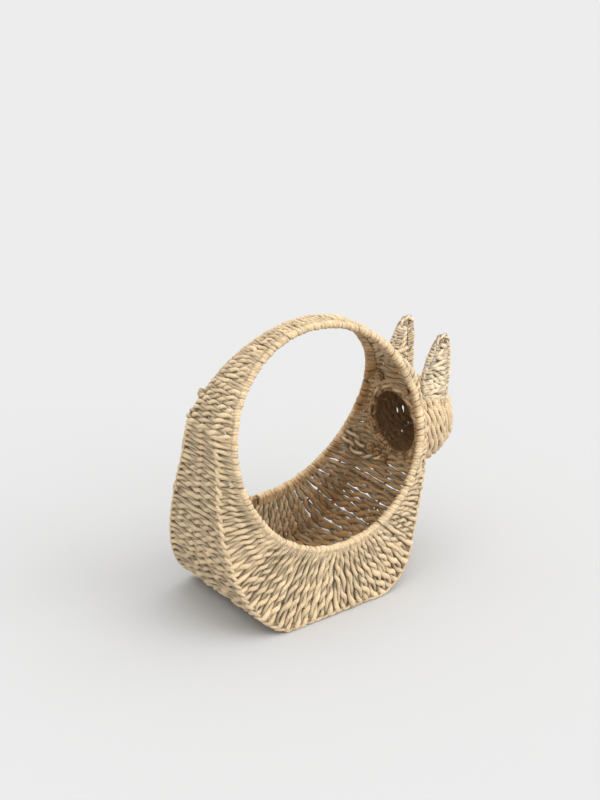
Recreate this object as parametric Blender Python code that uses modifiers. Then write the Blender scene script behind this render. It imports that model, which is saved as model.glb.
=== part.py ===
# Storage basket in the shape of a rabbit: a steel wire frame covered with woven paper cord.
# +Z is up, +X points to the rabbit's head and -Y is the front face. The origin is on the
# floor, right below the centre of the round hoop that is both the mouth and the handle.
# Most sections lie in planes through the hoop's axis, so a place on the basket is given by
# an angle about that axis: 0 at the head's side, 90 at the top and 270 at the base.

import math

import bmesh
import bpy
import numpy as np
from mathutils import Matrix, Vector

# Hoop, body and base
HOOP_HEIGHT = 0.1495
HOOP_HALF_HEIGHT = 0.0908
BODY_HALF_LENGTH = 0.109
BASE_HALF_DEPTH = 0.0626
HOOP_END_INSET = 0.01375
HOOP_FOOT_INSET = 0.0064
CROWN_BULGE = 0.0010
SHOULDER_BULGE_SHARE = 1.118
RUMP_SWELL = 1.3
CHEST_SWELL = 2.6

# Wires, weave and the running gap between touching pieces
FRAME_WIRE = 0.0030
RIB_WIRE = 0.0024
WEAVE_THICKNESS = 0.0038
HEM_SKIN = 0.00145
CLEARANCE = 0.0003
OVERRUN = 0.010
MERGE_DISTANCE = 0.00005

# Head
HEAD_DROP = 0.0260
HEAD_RING_MARGIN = 0.0009
HEAD_FLARE = 0.0080
HEAD_LEAD = 0.0120
HEAD_HALF_LENGTH = 0.0420
HEAD_NECK_LENGTH = 0.0045
HEAD_RIB_STOP = 0.0090

# Ears
EAR_WIDTH = 0.0340
EAR_HEIGHT = 0.0580
EAR_SETBACK = 0.0060
EAR_SPREAD_SHARE = 0.641
EAR_THICKNESS = 0.0066
EAR_ROUNDING = 0.0022
FAR_EAR_SHIFT = 0.0015

# Knots of cord that tie the head to the frame
KNOT_SIZE = 0.0060
KNOT_LIFT = 0.0070
KNOT_SPREAD_SHARE = 0.613

# Angles about the hoop's axis, in degrees
LEFT_SHOULDER = 166.0
RIGHT_SHOULDER = 374.0
BODY_STATIONS = 33
HANDLE_STATIONS = 20
HOOP_STATIONS = 60
FACE_WIRE_START = 196.0
FACE_WIRE_STOP = 330.0
FACE_WIRE_SHARE = 0.5
CROSS_WIRE_ANGLES = {"left_cross_wire": 203.0, "base_left_cross_wire": 246.0,
                     "base_right_cross_wire": 283.0, "right_cross_wire": 316.0}

# Depth of the rim at (height share, depth share), and the outline and depth of the lower
# edge; x is a share of the body's half length and z one of the hoop's height
RIM_DEPTH_SHARES = ((-1.0, 1.0), (-0.5, 0.852), (0.0, 0.632), (0.5, 0.382), (1.0, 0.142))
EDGE_OUTLINE_SHARES = (
    (-0.935, 0.24), (-0.945, 0.174), (-0.954, 0.0), (-0.991, -0.201), (-1.0, -0.401),
    (-0.963, -0.615), (-0.862, -0.803), (-0.734, -0.916), (-0.56, -0.984), (-0.275, -1.0),
    (0.0, -1.0), (0.27, -0.987), (0.459, -0.943), (0.587, -0.876), (0.706, -0.742),
    (0.798, -0.589), (0.872, -0.441), (0.904, -0.301), (0.917, -0.167), (0.918, 0.0),
    (0.925, 0.08), (0.945, 0.174), (0.95, 0.24))
LEFT_DEPTH_SHARES = ((-1.0, 1.01), (-0.803, 0.851), (-0.602, 0.701), (-0.401, 0.570),
                     (-0.2, 0.457), (0.0, 0.364), (0.174, 0.297), (0.3, 0.27))
RIGHT_DEPTH_SHARES = ((-1.0, 1.01), (-0.803, 0.855), (-0.602, 0.720), (-0.401, 0.640),
                      (-0.167, 0.617), (-0.04, 0.565), (0.08, 0.45), (0.174, 0.33),
                      (0.3, 0.27))
EAR_OUTLINE_SHARES = (
    (0.12, -0.36), (0.02, 0.10), (0.0, 0.32), (0.04, 0.48), (0.14, 0.62), (0.28, 0.74),
    (0.42, 0.845), (0.56, 0.945), (0.68, 0.995), (0.79, 0.99), (0.88, 0.88), (0.96, 0.70),
    (1.0, 0.50), (1.0, 0.29), (0.97, 0.10), (0.88, -0.36))
EAR_LOOP_SHARES = (
    (0.21, -0.36), (0.13, 0.10), (0.11, 0.32), (0.15, 0.46), (0.24, 0.59), (0.36, 0.70),
    (0.50, 0.80), (0.63, 0.88), (0.74, 0.915), (0.82, 0.86), (0.865, 0.70), (0.89, 0.50),
    (0.89, 0.29), (0.86, 0.10), (0.78, -0.36))

# The hoop stands inside the body's ends, and at its foot inside the base's sides
HOOP_HALF_LENGTH = BODY_HALF_LENGTH - HOOP_END_INSET
HOOP_HALF_DEPTH = BASE_HALF_DEPTH - HOOP_FOOT_INSET
HEM_BORE = FRAME_WIRE / 2 + CLEARANCE
HEM_RADIUS = HEM_BORE + HEM_SKIN
SPREADER_GAP = RIB_WIRE / 2 + CLEARANCE
NOTCH_HALF = RIB_WIRE / 2 + CLEARANCE
NOTCH_DEPTH = RIB_WIRE + CLEARANCE
HEAD_HEIGHT = HOOP_HEIGHT - HEAD_DROP
Y_AXIS = Vector((0, 1, 0))


def clear_scene():
    for thing in list(bpy.data.objects):
        bpy.data.objects.remove(thing, do_unlink=True)


clear_scene()
PARTS = bpy.data.collections.new("storage_basket")
CUTTERS = bpy.data.collections.new("storage_basket_cutters")
for group in (PARTS, CUTTERS):
    bpy.context.scene.collection.children.link(group)


def make_material(name, colour, roughness, metallic):
    material = bpy.data.materials.new(name)
    material.use_nodes = True
    shader = material.node_tree.nodes["Principled BSDF"]
    shader.inputs["Base Color"].default_value = (*colour, 1)
    shader.inputs["Roughness"].default_value = roughness
    shader.inputs["Metallic"].default_value = metallic
    material.diffuse_color = (*colour, 1)
    return material


CORD = make_material("paper_cord", (0.60, 0.45, 0.29), 0.85, 0.0)
CORD_INSIDE = make_material("paper_cord_inside", (0.42, 0.30, 0.18), 0.88, 0.0)
WIRE = make_material("lacquered_wire", (0.50, 0.40, 0.28), 0.45, 0.6)


def smooth_curve(table, scale=1.0):
    """A natural cubic spline through (place, value) pairs, as a function of the place."""
    places = np.array([row[0] for row in table], float)
    values = np.array([row[1] for row in table], float) * scale
    count = len(places)
    steps = np.diff(places)
    slopes = np.diff(values) / steps
    system = np.eye(count)
    right = np.zeros(count)
    for i in range(1, count - 1):
        system[i, i - 1:i + 2] = steps[i - 1], 2 * (steps[i - 1] + steps[i]), steps[i]
        right[i] = 6 * (slopes[i] - slopes[i - 1])
    bends = np.linalg.solve(system, right)

    def value_at(place):
        i = int(np.clip(np.searchsorted(places, place) - 1, 0, count - 2))
        past = place - places[i]
        linear = slopes[i] - steps[i] * (2 * bends[i] + bends[i + 1]) / 6
        cubic = (bends[i + 1] - bends[i]) / (6 * steps[i])
        return values[i] + past * (linear + past * (bends[i] / 2 + past * cubic))

    return value_at


rim_depth = smooth_curve(RIM_DEPTH_SHARES, HOOP_HALF_DEPTH)
left_depth = smooth_curve(LEFT_DEPTH_SHARES, BASE_HALF_DEPTH)
right_depth = smooth_curve(RIGHT_DEPTH_SHARES, BASE_HALF_DEPTH)


def outline_in_polar_form():
    rows = []
    for x_share, z_share in EDGE_OUTLINE_SHARES:
        x = x_share * BODY_HALF_LENGTH
        z = z_share * HOOP_HEIGHT
        rows.append((math.degrees(math.atan2(z, x)) % 360, math.hypot(x, z)))
    first_turn = rows[0][0]
    return [(angle + 360 if angle < first_turn - 90 else angle, radius)
            for angle, radius in rows]


edge_radius = smooth_curve(outline_in_polar_form())


def radial(angle):
    turn = math.radians(angle)
    return Vector((math.cos(turn), 0, math.sin(turn)))


def rim_point(angle, side):
    """Centre of a rim wire; side is -1 at the front and 1 at the back."""
    ray = radial(angle)
    radius = 1 / math.hypot(ray.x / HOOP_HALF_LENGTH, ray.z / HOOP_HALF_HEIGHT)
    depth = rim_depth(radius * ray.z / HOOP_HALF_HEIGHT)
    return Vector((radius * ray.x, side * depth, HOOP_HEIGHT + radius * ray.z))


def edge_point(angle, side):
    """Centre of a lower edge wire, which the floor keeps flat along the base."""
    ray = radial(angle)
    radius = edge_radius(angle)
    if ray.z < 0:
        radius = min(radius, (HOOP_HEIGHT - HEM_RADIUS) / -ray.z)
    depth_at = left_depth if ray.x < 0 else right_depth
    depth = depth_at(radius * ray.z / HOOP_HEIGHT)
    return Vector((radius * ray.x, side * depth, HOOP_HEIGHT + radius * ray.z))


def edge_gap(angle):
    """How far the edge wire stands outside the rim at an angle."""
    return (edge_point(angle, 1) - rim_point(angle, 1)).dot(radial(angle))


def place_level_with_head():
    """The place on the edge wire at the chest that is as high as the head's middle."""
    angle = 360.0
    for _ in range(6):
        place = edge_point(angle, 1)
        angle = 360 - math.degrees(math.atan2(HEAD_DROP, place.x))
    return place


# The handle's arch at each shoulder carries the ends of the edge wires, and the head's ring
# fits between the hems of the edge wires at the chest
RUMP_BULGE = SHOULDER_BULGE_SHARE * edge_gap(LEFT_SHOULDER)
CHEST_BULGE = SHOULDER_BULGE_SHARE * edge_gap(RIGHT_SHOULDER)
CHEST = place_level_with_head()
HEAD_RING_X = CHEST.x
HEAD_RING_RADIUS = CHEST.y - 2 * HEM_RADIUS - CLEARANCE - HEAD_RING_MARGIN
HEAD_RADIUS = HEAD_RING_RADIUS + HEAD_FLARE
HEAD_CENTRE_X = HEAD_RING_X + HEAD_LEAD
EAR_FRONT_X = HEAD_CENTRE_X - EAR_SETBACK


def direction(path, angle, side):
    nudge = 0.2
    return (path(angle + nudge, side) - path(angle - nudge, side)).normalized()


def reach(ray, tangent, distance):
    """The step along ray that leaves a round wire, cut at a slant, by the distance."""
    return ray * (distance / math.sqrt(1 - ray.dot(tangent) ** 2))


def arc_points(centre, tangent, axes, start, stop, radius, count):
    """Points on a circle about a wire, in the plane of the two axes, angles in degrees."""
    points = []
    for i in range(count):
        turn = math.radians(start + (stop - start) * i / (count - 1))
        ray = axes[0] * math.cos(turn) + axes[1] * math.sin(turn)
        points.append(centre + reach(ray, tangent, radius))
    return points


def bore_points(centre, tangent, axes, start, stop, count):
    """A groove's wall, whose flats stay clear of the wire."""
    half_step = math.radians(abs(stop - start) / (count - 1) / 2)
    return arc_points(centre, tangent, axes, start, stop, HEM_BORE / math.cos(half_step), count)


def rim_hem(centre, tangent, axes):
    """A hem round a rim wire, slit on its inner side, from the panel's inner face round to
    its outer face. The first axis points into the panel and the second one outward."""
    lap = math.degrees(math.asin(WEAVE_THICKNESS / 2 / HEM_RADIUS))
    slit_start, slit_stop = -150, 200
    points = arc_points(centre, tangent, axes, -lap, slit_start, HEM_RADIUS, 3)
    points += bore_points(centre, tangent, axes, slit_start, slit_stop, 8)
    points += arc_points(centre, tangent, axes, slit_stop, lap, HEM_RADIUS, 4)
    return points


def in_plane_normal(along, angle, side):
    """Perpendicular to a direction in the section plane, pointing out of the basket."""
    ray = radial(angle)
    return (Y_AXIS * along.dot(ray) - ray * along.dot(Y_AXIS)) * side


def seam_half_angle(angle, side):
    """Half the angle between the face and the side band where they meet at the edge."""
    to_rim = (rim_point(angle, side) - edge_point(angle, side)).normalized()
    return math.degrees(to_rim.angle(Y_AXIS * -side)) / 2


def edge_hem(centre, tangent, axes, half_angle, outer_start, inner_stop):
    """Half a hem round an edge wire. The panel's outer face joins it at outer_start and its
    inner face at inner_stop; the seam with the next panel is at half_angle."""
    play = math.degrees(CLEARANCE / 2 / HEM_BORE)
    lip = math.degrees(CLEARANCE / 2 / HEM_RADIUS)
    far = 180 - half_angle
    points = arc_points(centre, tangent, axes, outer_start, far - lip, HEM_RADIUS, 3)
    points += bore_points(centre, tangent, axes, far - play, play - half_angle, 5)
    points += arc_points(centre, tangent, axes, lip - half_angle, inner_stop, HEM_RADIUS, 2)
    return points


def notch(centre, along, outward, tangent, inner_level):
    """A groove on a panel's inner face for the wire that the cords cross."""
    floor_level = inner_level + NOTCH_DEPTH
    half = along * NOTCH_HALF
    inner = reach(outward, tangent, inner_level)
    floor = reach(outward, tangent, floor_level)
    return [centre - half + inner, centre - half + floor, centre + half + floor,
            centre + half + inner]


def face_wire_point(angle, side):
    rim = rim_point(angle, side)
    return rim.lerp(edge_point(angle, side), FACE_WIRE_SHARE)


def groove_centre_level():
    """Height of a rib wire's centre above the middle of a panel with a notch."""
    return NOTCH_DEPTH - WEAVE_THICKNESS / 2 - RIB_WIRE / 2 - CLEARANCE


def face_section(angle, side):
    """Section of a front or back face: rim hem, panel with its groove, half edge hem."""
    rim = rim_point(angle, side)
    edge = edge_point(angle, side)
    along = (edge - rim).normalized()
    outward = in_plane_normal(along, angle, side)
    rim_way = direction(rim_point, angle, side)
    edge_way = direction(edge_point, angle, side)
    lap = math.degrees(math.asin(WEAVE_THICKNESS / 2 / HEM_RADIUS))
    seam = max(seam_half_angle(angle, side), lap + 2)
    points = edge_hem(edge, edge_way, (-along, outward), seam, lap, -lap)
    if FACE_WIRE_START < angle < FACE_WIRE_STOP:
        middle = face_wire_point(angle, side)
        way = direction(face_wire_point, angle, side)
        points += notch(middle, -along, outward, way, -WEAVE_THICKNESS / 2)
    else:
        inner_end = points[-1]
        rim_start = rim + along * HEM_RADIUS - reach(outward, rim_way, WEAVE_THICKNESS / 2)
        points += [inner_end.lerp(rim_start, i / 5) for i in range(1, 5)]
    points += rim_hem(rim, rim_way, (along, outward))
    return points


def side_section(angle):
    """Section of the band that joins both faces round the rump, base and chest."""
    ray = radial(angle)
    inner_level = HEM_RADIUS - WEAVE_THICKNESS
    inner_turn = math.degrees(math.asin(inner_level / HEM_RADIUS))
    for side in (-1, 1):
        edge = edge_point(angle, side)
        way = direction(edge_point, angle, side)
        seam = seam_half_angle(angle, side)
        hem = edge_hem(edge, way, (Y_AXIS * -side, ray), seam, 90, inner_turn)
        if side == -1:
            middle = Vector((edge.x, 0, edge.z))
            middle_way = Vector((way.x, 0, way.z)).normalized()
            points = hem + notch(middle, Y_AXIS, ray, middle_way, inner_level)
        else:
            points += hem[::-1]
    return points


def handle_arch(angle, share):
    """A place across the handle's band; share runs from -1 at the front rim to 1. The band
    is almost flat at the crown, and swells to a full arch at the shoulders, later on the
    chest's side."""
    rim = rim_point(angle, 1)
    crown = HOOP_HEIGHT + HOOP_HALF_HEIGHT
    drop_share = (crown - rim.z) / (crown - rim_point(LEFT_SHOULDER, 1).z)
    drop_share = min(max(drop_share, 0), 1)
    full, swell = (RUMP_BULGE, RUMP_SWELL) if rim.x < 0 else (CHEST_BULGE, CHEST_SWELL)
    bulge = CROWN_BULGE + (full - CROWN_BULGE) * drop_share ** swell
    rise = bulge * (1 - abs(share) ** (2.4 + 2 * drop_share ** 2))
    return Vector((rim.x, share * rim.y, rim.z)) + radial(angle) * rise


def handle_section(angle):
    """Section of the handle: an arched band with a hem at each rim."""
    ray = radial(angle)
    rim = rim_point(angle, 1)
    nudge = 0.02
    half = WEAVE_THICKNESS / 2
    end_share = 1 - HEM_RADIUS / rim.y
    outer, inner = [], []
    for share in np.linspace(-end_share, end_share, 6):
        along = (handle_arch(angle, share + nudge) - handle_arch(angle, share - nudge))
        outward = in_plane_normal(along.normalized(), angle, -1)
        outer.append(handle_arch(angle, share) + outward * half)
        inner.append(handle_arch(angle, share) - outward * half)
    centre = handle_arch(angle, 0)
    way = direction(lambda a, side: handle_arch(a, 0), angle, 1)
    groove = notch(centre, Y_AXIS, ray, way, -half)
    hems = {}
    for side in (-1, 1):
        start = handle_arch(angle, side)
        along = (handle_arch(angle, side * (1 - nudge)) - start).normalized()
        outward = in_plane_normal(along, angle, side)
        hems[side] = rim_hem(start, direction(rim_point, angle, side), (along, outward))
    return outer + hems[1][::-1] + (inner[:3] + groove + inner[3:])[::-1] + hems[-1]


def add_object(name, mesh, material, group=PARTS):
    thing = bpy.data.objects.new(name, mesh)
    group.objects.link(thing)
    if material:
        mesh.materials.append(material)
    return thing


def finish_mesh(name, builder, material, smooth_angle=40, group=PARTS):
    """Turns a bmesh into an object with outward faces and soft shading."""
    bmesh.ops.recalc_face_normals(builder, faces=builder.faces)
    mesh = bpy.data.meshes.new(name)
    builder.to_mesh(mesh)
    builder.free()
    mesh.shade_smooth()
    mesh.set_sharp_from_angle(angle=math.radians(smooth_angle))
    return add_object(name, mesh, material, group)


def loft(name, sections, material, group=PARTS):
    """A closed solid through sections that all have the same number of points."""
    builder = bmesh.new()
    rings = [[builder.verts.new(point) for point in section] for section in sections]
    count = len(rings[0])
    for first, second in zip(rings, rings[1:]):
        for i in range(count):
            j = (i + 1) % count
            builder.faces.new((first[i], first[j], second[j], second[i]))
    for ring in (rings[0], rings[-1]):
        builder.faces.new(ring)
    bmesh.ops.triangulate(builder, faces=[face for face in builder.faces if len(face.verts) > 4])
    return finish_mesh(name, builder, material, group=group)


def wire(name, points, diameter, closed=False):
    """A round wire along a list of points."""
    curve = bpy.data.curves.new(name, "CURVE")
    curve.dimensions = "3D"
    curve.bevel_depth = diameter / 2
    curve.bevel_resolution = 1
    curve.use_fill_caps = not closed
    spline = curve.splines.new("POLY")
    spline.points.add(len(points) - 1)
    for spot, point in zip(spline.points, points):
        spot.co = (*point, 1)
    spline.use_cyclic_u = closed
    return add_object(name, curve, WIRE)


def angles_between(start, stop, count):
    return [float(angle) for angle in np.linspace(start, stop, count)]


# The turn that leaves room for a spreader wire between the handle and the body
SHOULDER_GAP = math.degrees(SPREADER_GAP / HOOP_HALF_LENGTH)
BODY_ANGLES = angles_between(LEFT_SHOULDER + SHOULDER_GAP, RIGHT_SHOULDER - SHOULDER_GAP,
                             BODY_STATIONS)
HANDLE_ANGLES = angles_between(RIGHT_SHOULDER - 360 + SHOULDER_GAP,
                               LEFT_SHOULDER - SHOULDER_GAP, HANDLE_STATIONS)


# The wires of the frame
def frame_wires():
    turn = angles_between(0, 360, HOOP_STATIONS + 1)[:-1]
    for label, side in (("front", -1), ("back", 1)):
        wire(f"{label}_rim_wire", [rim_point(a, side) for a in turn], FRAME_WIRE, True)
        wire(f"{label}_edge_wire", [edge_point(a, side) for a in BODY_ANGLES], FRAME_WIRE)
        face_angles = [a for a in BODY_ANGLES if FACE_WIRE_START < a < FACE_WIRE_STOP]
        wire(f"{label}_face_wire", [face_wire_place(a, side) for a in face_angles], RIB_WIRE)


def face_wire_place(angle, side):
    """Centre of a face wire, which lies in the groove on the inner side of its face."""
    along = (edge_point(angle, side) - rim_point(angle, side)).normalized()
    outward = in_plane_normal(along, angle, side)
    way = direction(face_wire_point, angle, side)
    return face_wire_point(angle, side) + reach(outward, way, groove_centre_level())


def side_spine_place(angle):
    edge = edge_point(angle, 1)
    way = direction(edge_point, angle, 1)
    level = HEM_RADIUS - WEAVE_THICKNESS / 2 + groove_centre_level()
    flat_way = Vector((way.x, 0, way.z)).normalized()
    return Vector((edge.x, 0, edge.z)) + reach(radial(angle), flat_way, level)


def handle_spine_place(angle):
    way = direction(lambda a, side: handle_arch(a, 0), angle, 1)
    return handle_arch(angle, 0) + reach(radial(angle), way, groove_centre_level())


def spine_wires():
    """One wire down the middle of the handle, and one down the middle of the side band."""
    wire("handle_spine_wire", [handle_spine_place(a) for a in HANDLE_ANGLES], RIB_WIRE)
    lowest = HEAD_HEIGHT - HEAD_RING_RADIUS - HEM_RADIUS - 2 * CLEARANCE
    below = [a for a in BODY_ANGLES if a < 270 or side_spine_place(a).z < lowest]
    wire("side_spine_wire", [side_spine_place(a) for a in below], RIB_WIRE)


def spreader_wires():
    """A wire arched across the handle at each shoulder, where all the long wires meet it."""
    for name, angle in (("left_spreader_wire", LEFT_SHOULDER),
                        ("right_spreader_wire", RIGHT_SHOULDER - 360)):
        rim = rim_point(angle, 1)
        end_share = 1 - (FRAME_WIRE / 2 + CLEARANCE) / rim.y
        shares = np.linspace(-end_share, end_share, 15)
        wire(name, [handle_arch(angle, share) for share in shares], RIB_WIRE)


def cross_wires():
    """Straight wires across the inside of the side band, from face to face."""
    for name, wanted_angle in CROSS_WIRE_ANGLES.items():
        angle = min(BODY_ANGLES, key=lambda a: abs(a - wanted_angle))
        edge = edge_point(angle, 1)
        way = direction(edge_point, angle, 1)
        level = HEM_RADIUS - WEAVE_THICKNESS - CLEARANCE - FRAME_WIRE / 2
        middle = Vector((edge.x, 0, edge.z)) + reach(radial(angle), way, level)
        half = edge.y - HEM_RADIUS - CLEARANCE
        ends = [middle + Y_AXIS * half * share for share in (-1, 1)]
        wire(name, ends, FRAME_WIRE)


# The woven panels of the body and the handle
def body_weave():
    for label, side in (("front", -1), ("back", 1)):
        loft(f"{label}_weave", [face_section(a, side) for a in BODY_ANGLES], CORD)
    band = loft("side_weave", [side_section(a) for a in BODY_ANGLES], CORD)
    cut(band, round_cutter("head_opening", HEAD_RING_RADIUS + HEM_RADIUS + CLEARANCE))
    loft("handle_weave", [handle_section(a) for a in HANDLE_ANGLES], CORD)


def cut(body, cutter):
    hole = body.modifiers.new(cutter.name, "BOOLEAN")
    hole.operation = "DIFFERENCE"
    hole.solver = "EXACT"
    hole.object = cutter


def hide_cutter(thing):
    thing.hide_render = True
    thing.display_type = "WIRE"
    return thing


def round_cutter(name, radius):
    """A cylinder along X at the head, for the opening in the chest."""
    builder = bmesh.new()
    length = 2 * (WEAVE_THICKNESS + OVERRUN)
    bmesh.ops.create_cone(builder, cap_ends=True, segments=32, radius1=radius,
                          radius2=radius, depth=length)
    thing = finish_mesh(name, builder, None, group=CUTTERS)
    thing.location = (HEAD_RING_X, 0, HEAD_HEIGHT)
    thing.rotation_euler = (0, math.pi / 2, 0)
    return hide_cutter(thing)


# The head: a woven cup, open to the basket, round a ring wire and four ribs
def head_profile(inset):
    """(x, radius) from the nose back to the neck, on the head's skin less an inset."""
    length = HEAD_HALF_LENGTH - inset
    radius = HEAD_RADIUS - inset
    points = []
    for turn in np.linspace(0, math.pi / 2, 8):
        x = HEAD_CENTRE_X + length * math.cos(turn)
        points.append((x, radius * math.sin(turn)))
    neck_x = HEAD_RING_X + HEAD_NECK_LENGTH
    neck_radius = HEAD_RING_RADIUS + HEM_RADIUS - inset
    for share in (0.35, 0.7, 1.0):
        x = HEAD_CENTRE_X + (neck_x - HEAD_CENTRE_X) * share
        points.append((x, radius + (neck_radius - radius) * share ** 2))
    return points


def hem_profile():
    """The ring wire's hem: (x, radius) from its outer side round to its inner side."""
    slit_start, slit_stop = 210, 220
    rows = [(angle, HEM_RADIUS) for angle in (90, 130, 170, slit_start)]
    half_step = math.radians((slit_start + 360 - slit_stop) / 7 / 2)
    bore = HEM_BORE / math.cos(half_step)
    rows += [(float(angle), bore) for angle in np.linspace(slit_start, slit_stop - 360, 8)]
    rows += [(angle, HEM_RADIUS) for angle in (slit_stop, 255, 290, 325)]
    return [(HEAD_RING_X + radius * math.cos(math.radians(angle)),
             HEAD_RING_RADIUS + radius * math.sin(math.radians(angle)))
            for angle, radius in rows]


def turn_about_head_axis(name, profile, material, group=PARTS):
    """A solid turned about the head's axis from (x, radius) points that start at the nose."""
    steps = 24
    builder = bmesh.new()
    spots = [builder.verts.new((radius, 0, x)) for x, radius in profile]
    for first, second in zip(spots, spots[1:]):
        builder.edges.new((first, second))
    mesh = bpy.data.meshes.new(name)
    builder.to_mesh(mesh)
    builder.free()
    thing = add_object(name, mesh, material, group)
    turned = thing.modifiers.new("turned", "SCREW")
    turned.steps = steps
    turned.render_steps = steps
    turned.use_merge_vertices = True
    turned.merge_threshold = MERGE_DISTANCE
    turned.use_smooth_shade = True
    thing.rotation_euler = (0, math.pi / 2, 0)
    thing.location = (0, 0, HEAD_HEIGHT)
    return thing


def head_pieces():
    inner = head_profile(WEAVE_THICKNESS)[::-1]
    profile = head_profile(0) + hem_profile() + inner
    profile[0] = (profile[0][0], 0)
    profile[-1] = (profile[-1][0], 0)
    turn_about_head_axis("head_weave", profile, CORD)
    circle = [Vector((HEAD_RING_X, HEAD_RING_RADIUS * math.cos(t),
                      HEAD_HEIGHT + HEAD_RING_RADIUS * math.sin(t)))
              for t in np.linspace(0, 2 * math.pi, 41)[:-1]]
    wire("head_ring_wire", circle, FRAME_WIRE, True)
    head_ribs()


def head_ribs():
    """Rib wires up the inside of the cup, from the ring towards the nose."""
    skin = head_profile(WEAVE_THICKNESS + CLEARANCE + RIB_WIRE / 2)
    path = [spot for spot in skin if spot[1] > HEAD_RIB_STOP][:-1]
    for index in range(4):
        turn = math.radians(45 + 90 * index)
        spots = [Vector((x, radius * math.cos(turn), HEAD_HEIGHT + radius * math.sin(turn)))
                 for x, radius in path]
        wire(f"head_rib_wire_{index + 1}", spots, RIB_WIRE)


# The ears: flat leaves woven on a bent wire with a wire up the middle
def ear_places(shares):
    return [Vector((EAR_FRONT_X + x * EAR_WIDTH, HOOP_HEIGHT + z * EAR_HEIGHT))
            for x, z in shares]


def ear_outline(inset):
    """(x, z) points round an ear, drawn in by the inset, open at the foot."""
    points = ear_places(EAR_OUTLINE_SHARES)
    drawn = []
    for i, point in enumerate(points):
        before = points[max(i - 1, 0)]
        after = points[min(i + 1, len(points) - 1)]
        way = (after - before).normalized()
        drawn.append(point + Vector((way.y, -way.x)) * inset)
    return drawn


def head_top_at(x, y, lift):
    """Height of the head's skin, raised by a lift, at a place under an ear."""
    along = (x - HEAD_CENTRE_X) / (HEAD_HALF_LENGTH + lift)
    across = y / (HEAD_RADIUS + lift)
    return HEAD_HEIGHT + (HEAD_RADIUS + lift) * math.sqrt(1 - along ** 2 - across ** 2)


def ear_plate(name, offset):
    curve = bpy.data.curves.new(name, "CURVE")
    curve.dimensions = "2D"
    curve.fill_mode = "BOTH"
    curve.extrude = EAR_THICKNESS / 2 - EAR_ROUNDING
    curve.bevel_depth = EAR_ROUNDING
    curve.bevel_resolution = 1
    outline = ear_outline(EAR_ROUNDING)
    spline = curve.splines.new("POLY")
    spline.points.add(len(outline) - 1)
    for spot, point in zip(spline.points, outline):
        spot.co = (point.x, point.y, 0, 1)
    spline.use_cyclic_u = True
    flat = add_object(name + "_outline", curve, None, CUTTERS)
    flat.matrix_world = Matrix.Translation(offset) @ Matrix.Rotation(math.pi / 2, 4, "X")
    bpy.context.view_layer.update()
    seen = flat.evaluated_get(bpy.context.evaluated_depsgraph_get())
    mesh = bpy.data.meshes.new_from_object(seen)
    builder = bmesh.new()
    builder.from_mesh(mesh)
    bmesh.ops.transform(builder, matrix=flat.matrix_world, verts=builder.verts)
    bmesh.ops.remove_doubles(builder, verts=builder.verts, dist=MERGE_DISTANCE)
    bmesh.ops.dissolve_limit(builder, angle_limit=math.radians(1), verts=builder.verts,
                             edges=builder.edges)
    bpy.data.objects.remove(flat, do_unlink=True)
    return finish_mesh(name, builder, CORD)


def groove_cutter(name, path, offset, depth_side):
    """A square groove along a wire's path, open on the inner face of the ear."""
    half = RIB_WIRE / 2 + CLEARANCE
    sections = []
    for i, point in enumerate(path):
        before = path[max(i - 1, 0)]
        after = path[min(i + 1, len(path) - 1)]
        way = (after - before).normalized()
        across = Vector((way.y, 0, -way.x)) * half
        centre = Vector((point.x, 0, point.y)) + offset
        near = -Y_AXIS * depth_side * half
        far = Y_AXIS * depth_side * (EAR_THICKNESS / 2 + OVERRUN)
        sections.append([centre + across + near, centre + across + far,
                         centre - across + far, centre - across + near])
    return hide_cutter(loft(name, sections, None, CUTTERS))


def ear(label, side):
    """An ear on one side of the head, its wires and its grooves on the inner face."""
    shift = FAR_EAR_SHIFT if side > 0 else 0
    offset = Vector((shift, side * EAR_SPREAD_SHARE * HEAD_RADIUS, 0))
    plate = ear_plate(f"{label}_ear_weave", offset)
    loop = ear_places(EAR_LOOP_SHARES)
    crown = max(loop, key=lambda point: point.y)
    foot_x = (loop[0].x + loop[-1].x) / 2
    stem_top = crown.lerp(Vector((foot_x, loop[0].y)), 0.12)
    stem = [Vector((foot_x, loop[0].y)), stem_top]
    cut(plate, groove_cutter(f"{label}_ear_loop_groove", loop, offset, -side))
    cut(plate, groove_cutter(f"{label}_ear_stem_groove", stem, offset, -side))
    cut(plate, head_clearance())
    welded = plate.modifiers.new("welded", "WELD")
    welded.merge_threshold = MERGE_DISTANCE
    wire(f"{label}_ear_wire", wire_above_head(loop, offset), RIB_WIRE)
    wire(f"{label}_ear_stem_wire", wire_above_head(stem, offset), RIB_WIRE)


def wire_above_head(path, offset):
    """The part of a flat path that is clear of the head, with its feet on the skin."""
    lift = 2 * CLEARANCE + RIB_WIRE / 2

    def height_over_head(point):
        return point.y - head_top_at(point.x + offset.x, offset.y, lift)

    spots = []
    for first, second in zip(path, path[1:]):
        levels = height_over_head(first), height_over_head(second)
        if levels[0] >= 0:
            spots.append(first)
        if levels[0] * levels[1] < 0:
            spots.append(first.lerp(second, levels[0] / (levels[0] - levels[1])))
    if height_over_head(path[-1]) >= 0:
        spots.append(path[-1])
    return [Vector((spot.x, 0, spot.y)) + offset for spot in spots]


def head_clearance():
    """The head's outer shape, a clearance larger, that the ears' feet are cut to."""
    known = bpy.data.objects.get("head_clearance")
    if known:
        return known
    profile = head_profile(-CLEARANCE)
    profile[0] = (profile[0][0], 0)
    profile.append((profile[-1][0], 0))
    return hide_cutter(turn_about_head_axis("head_clearance", profile, None, CUTTERS))


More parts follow.
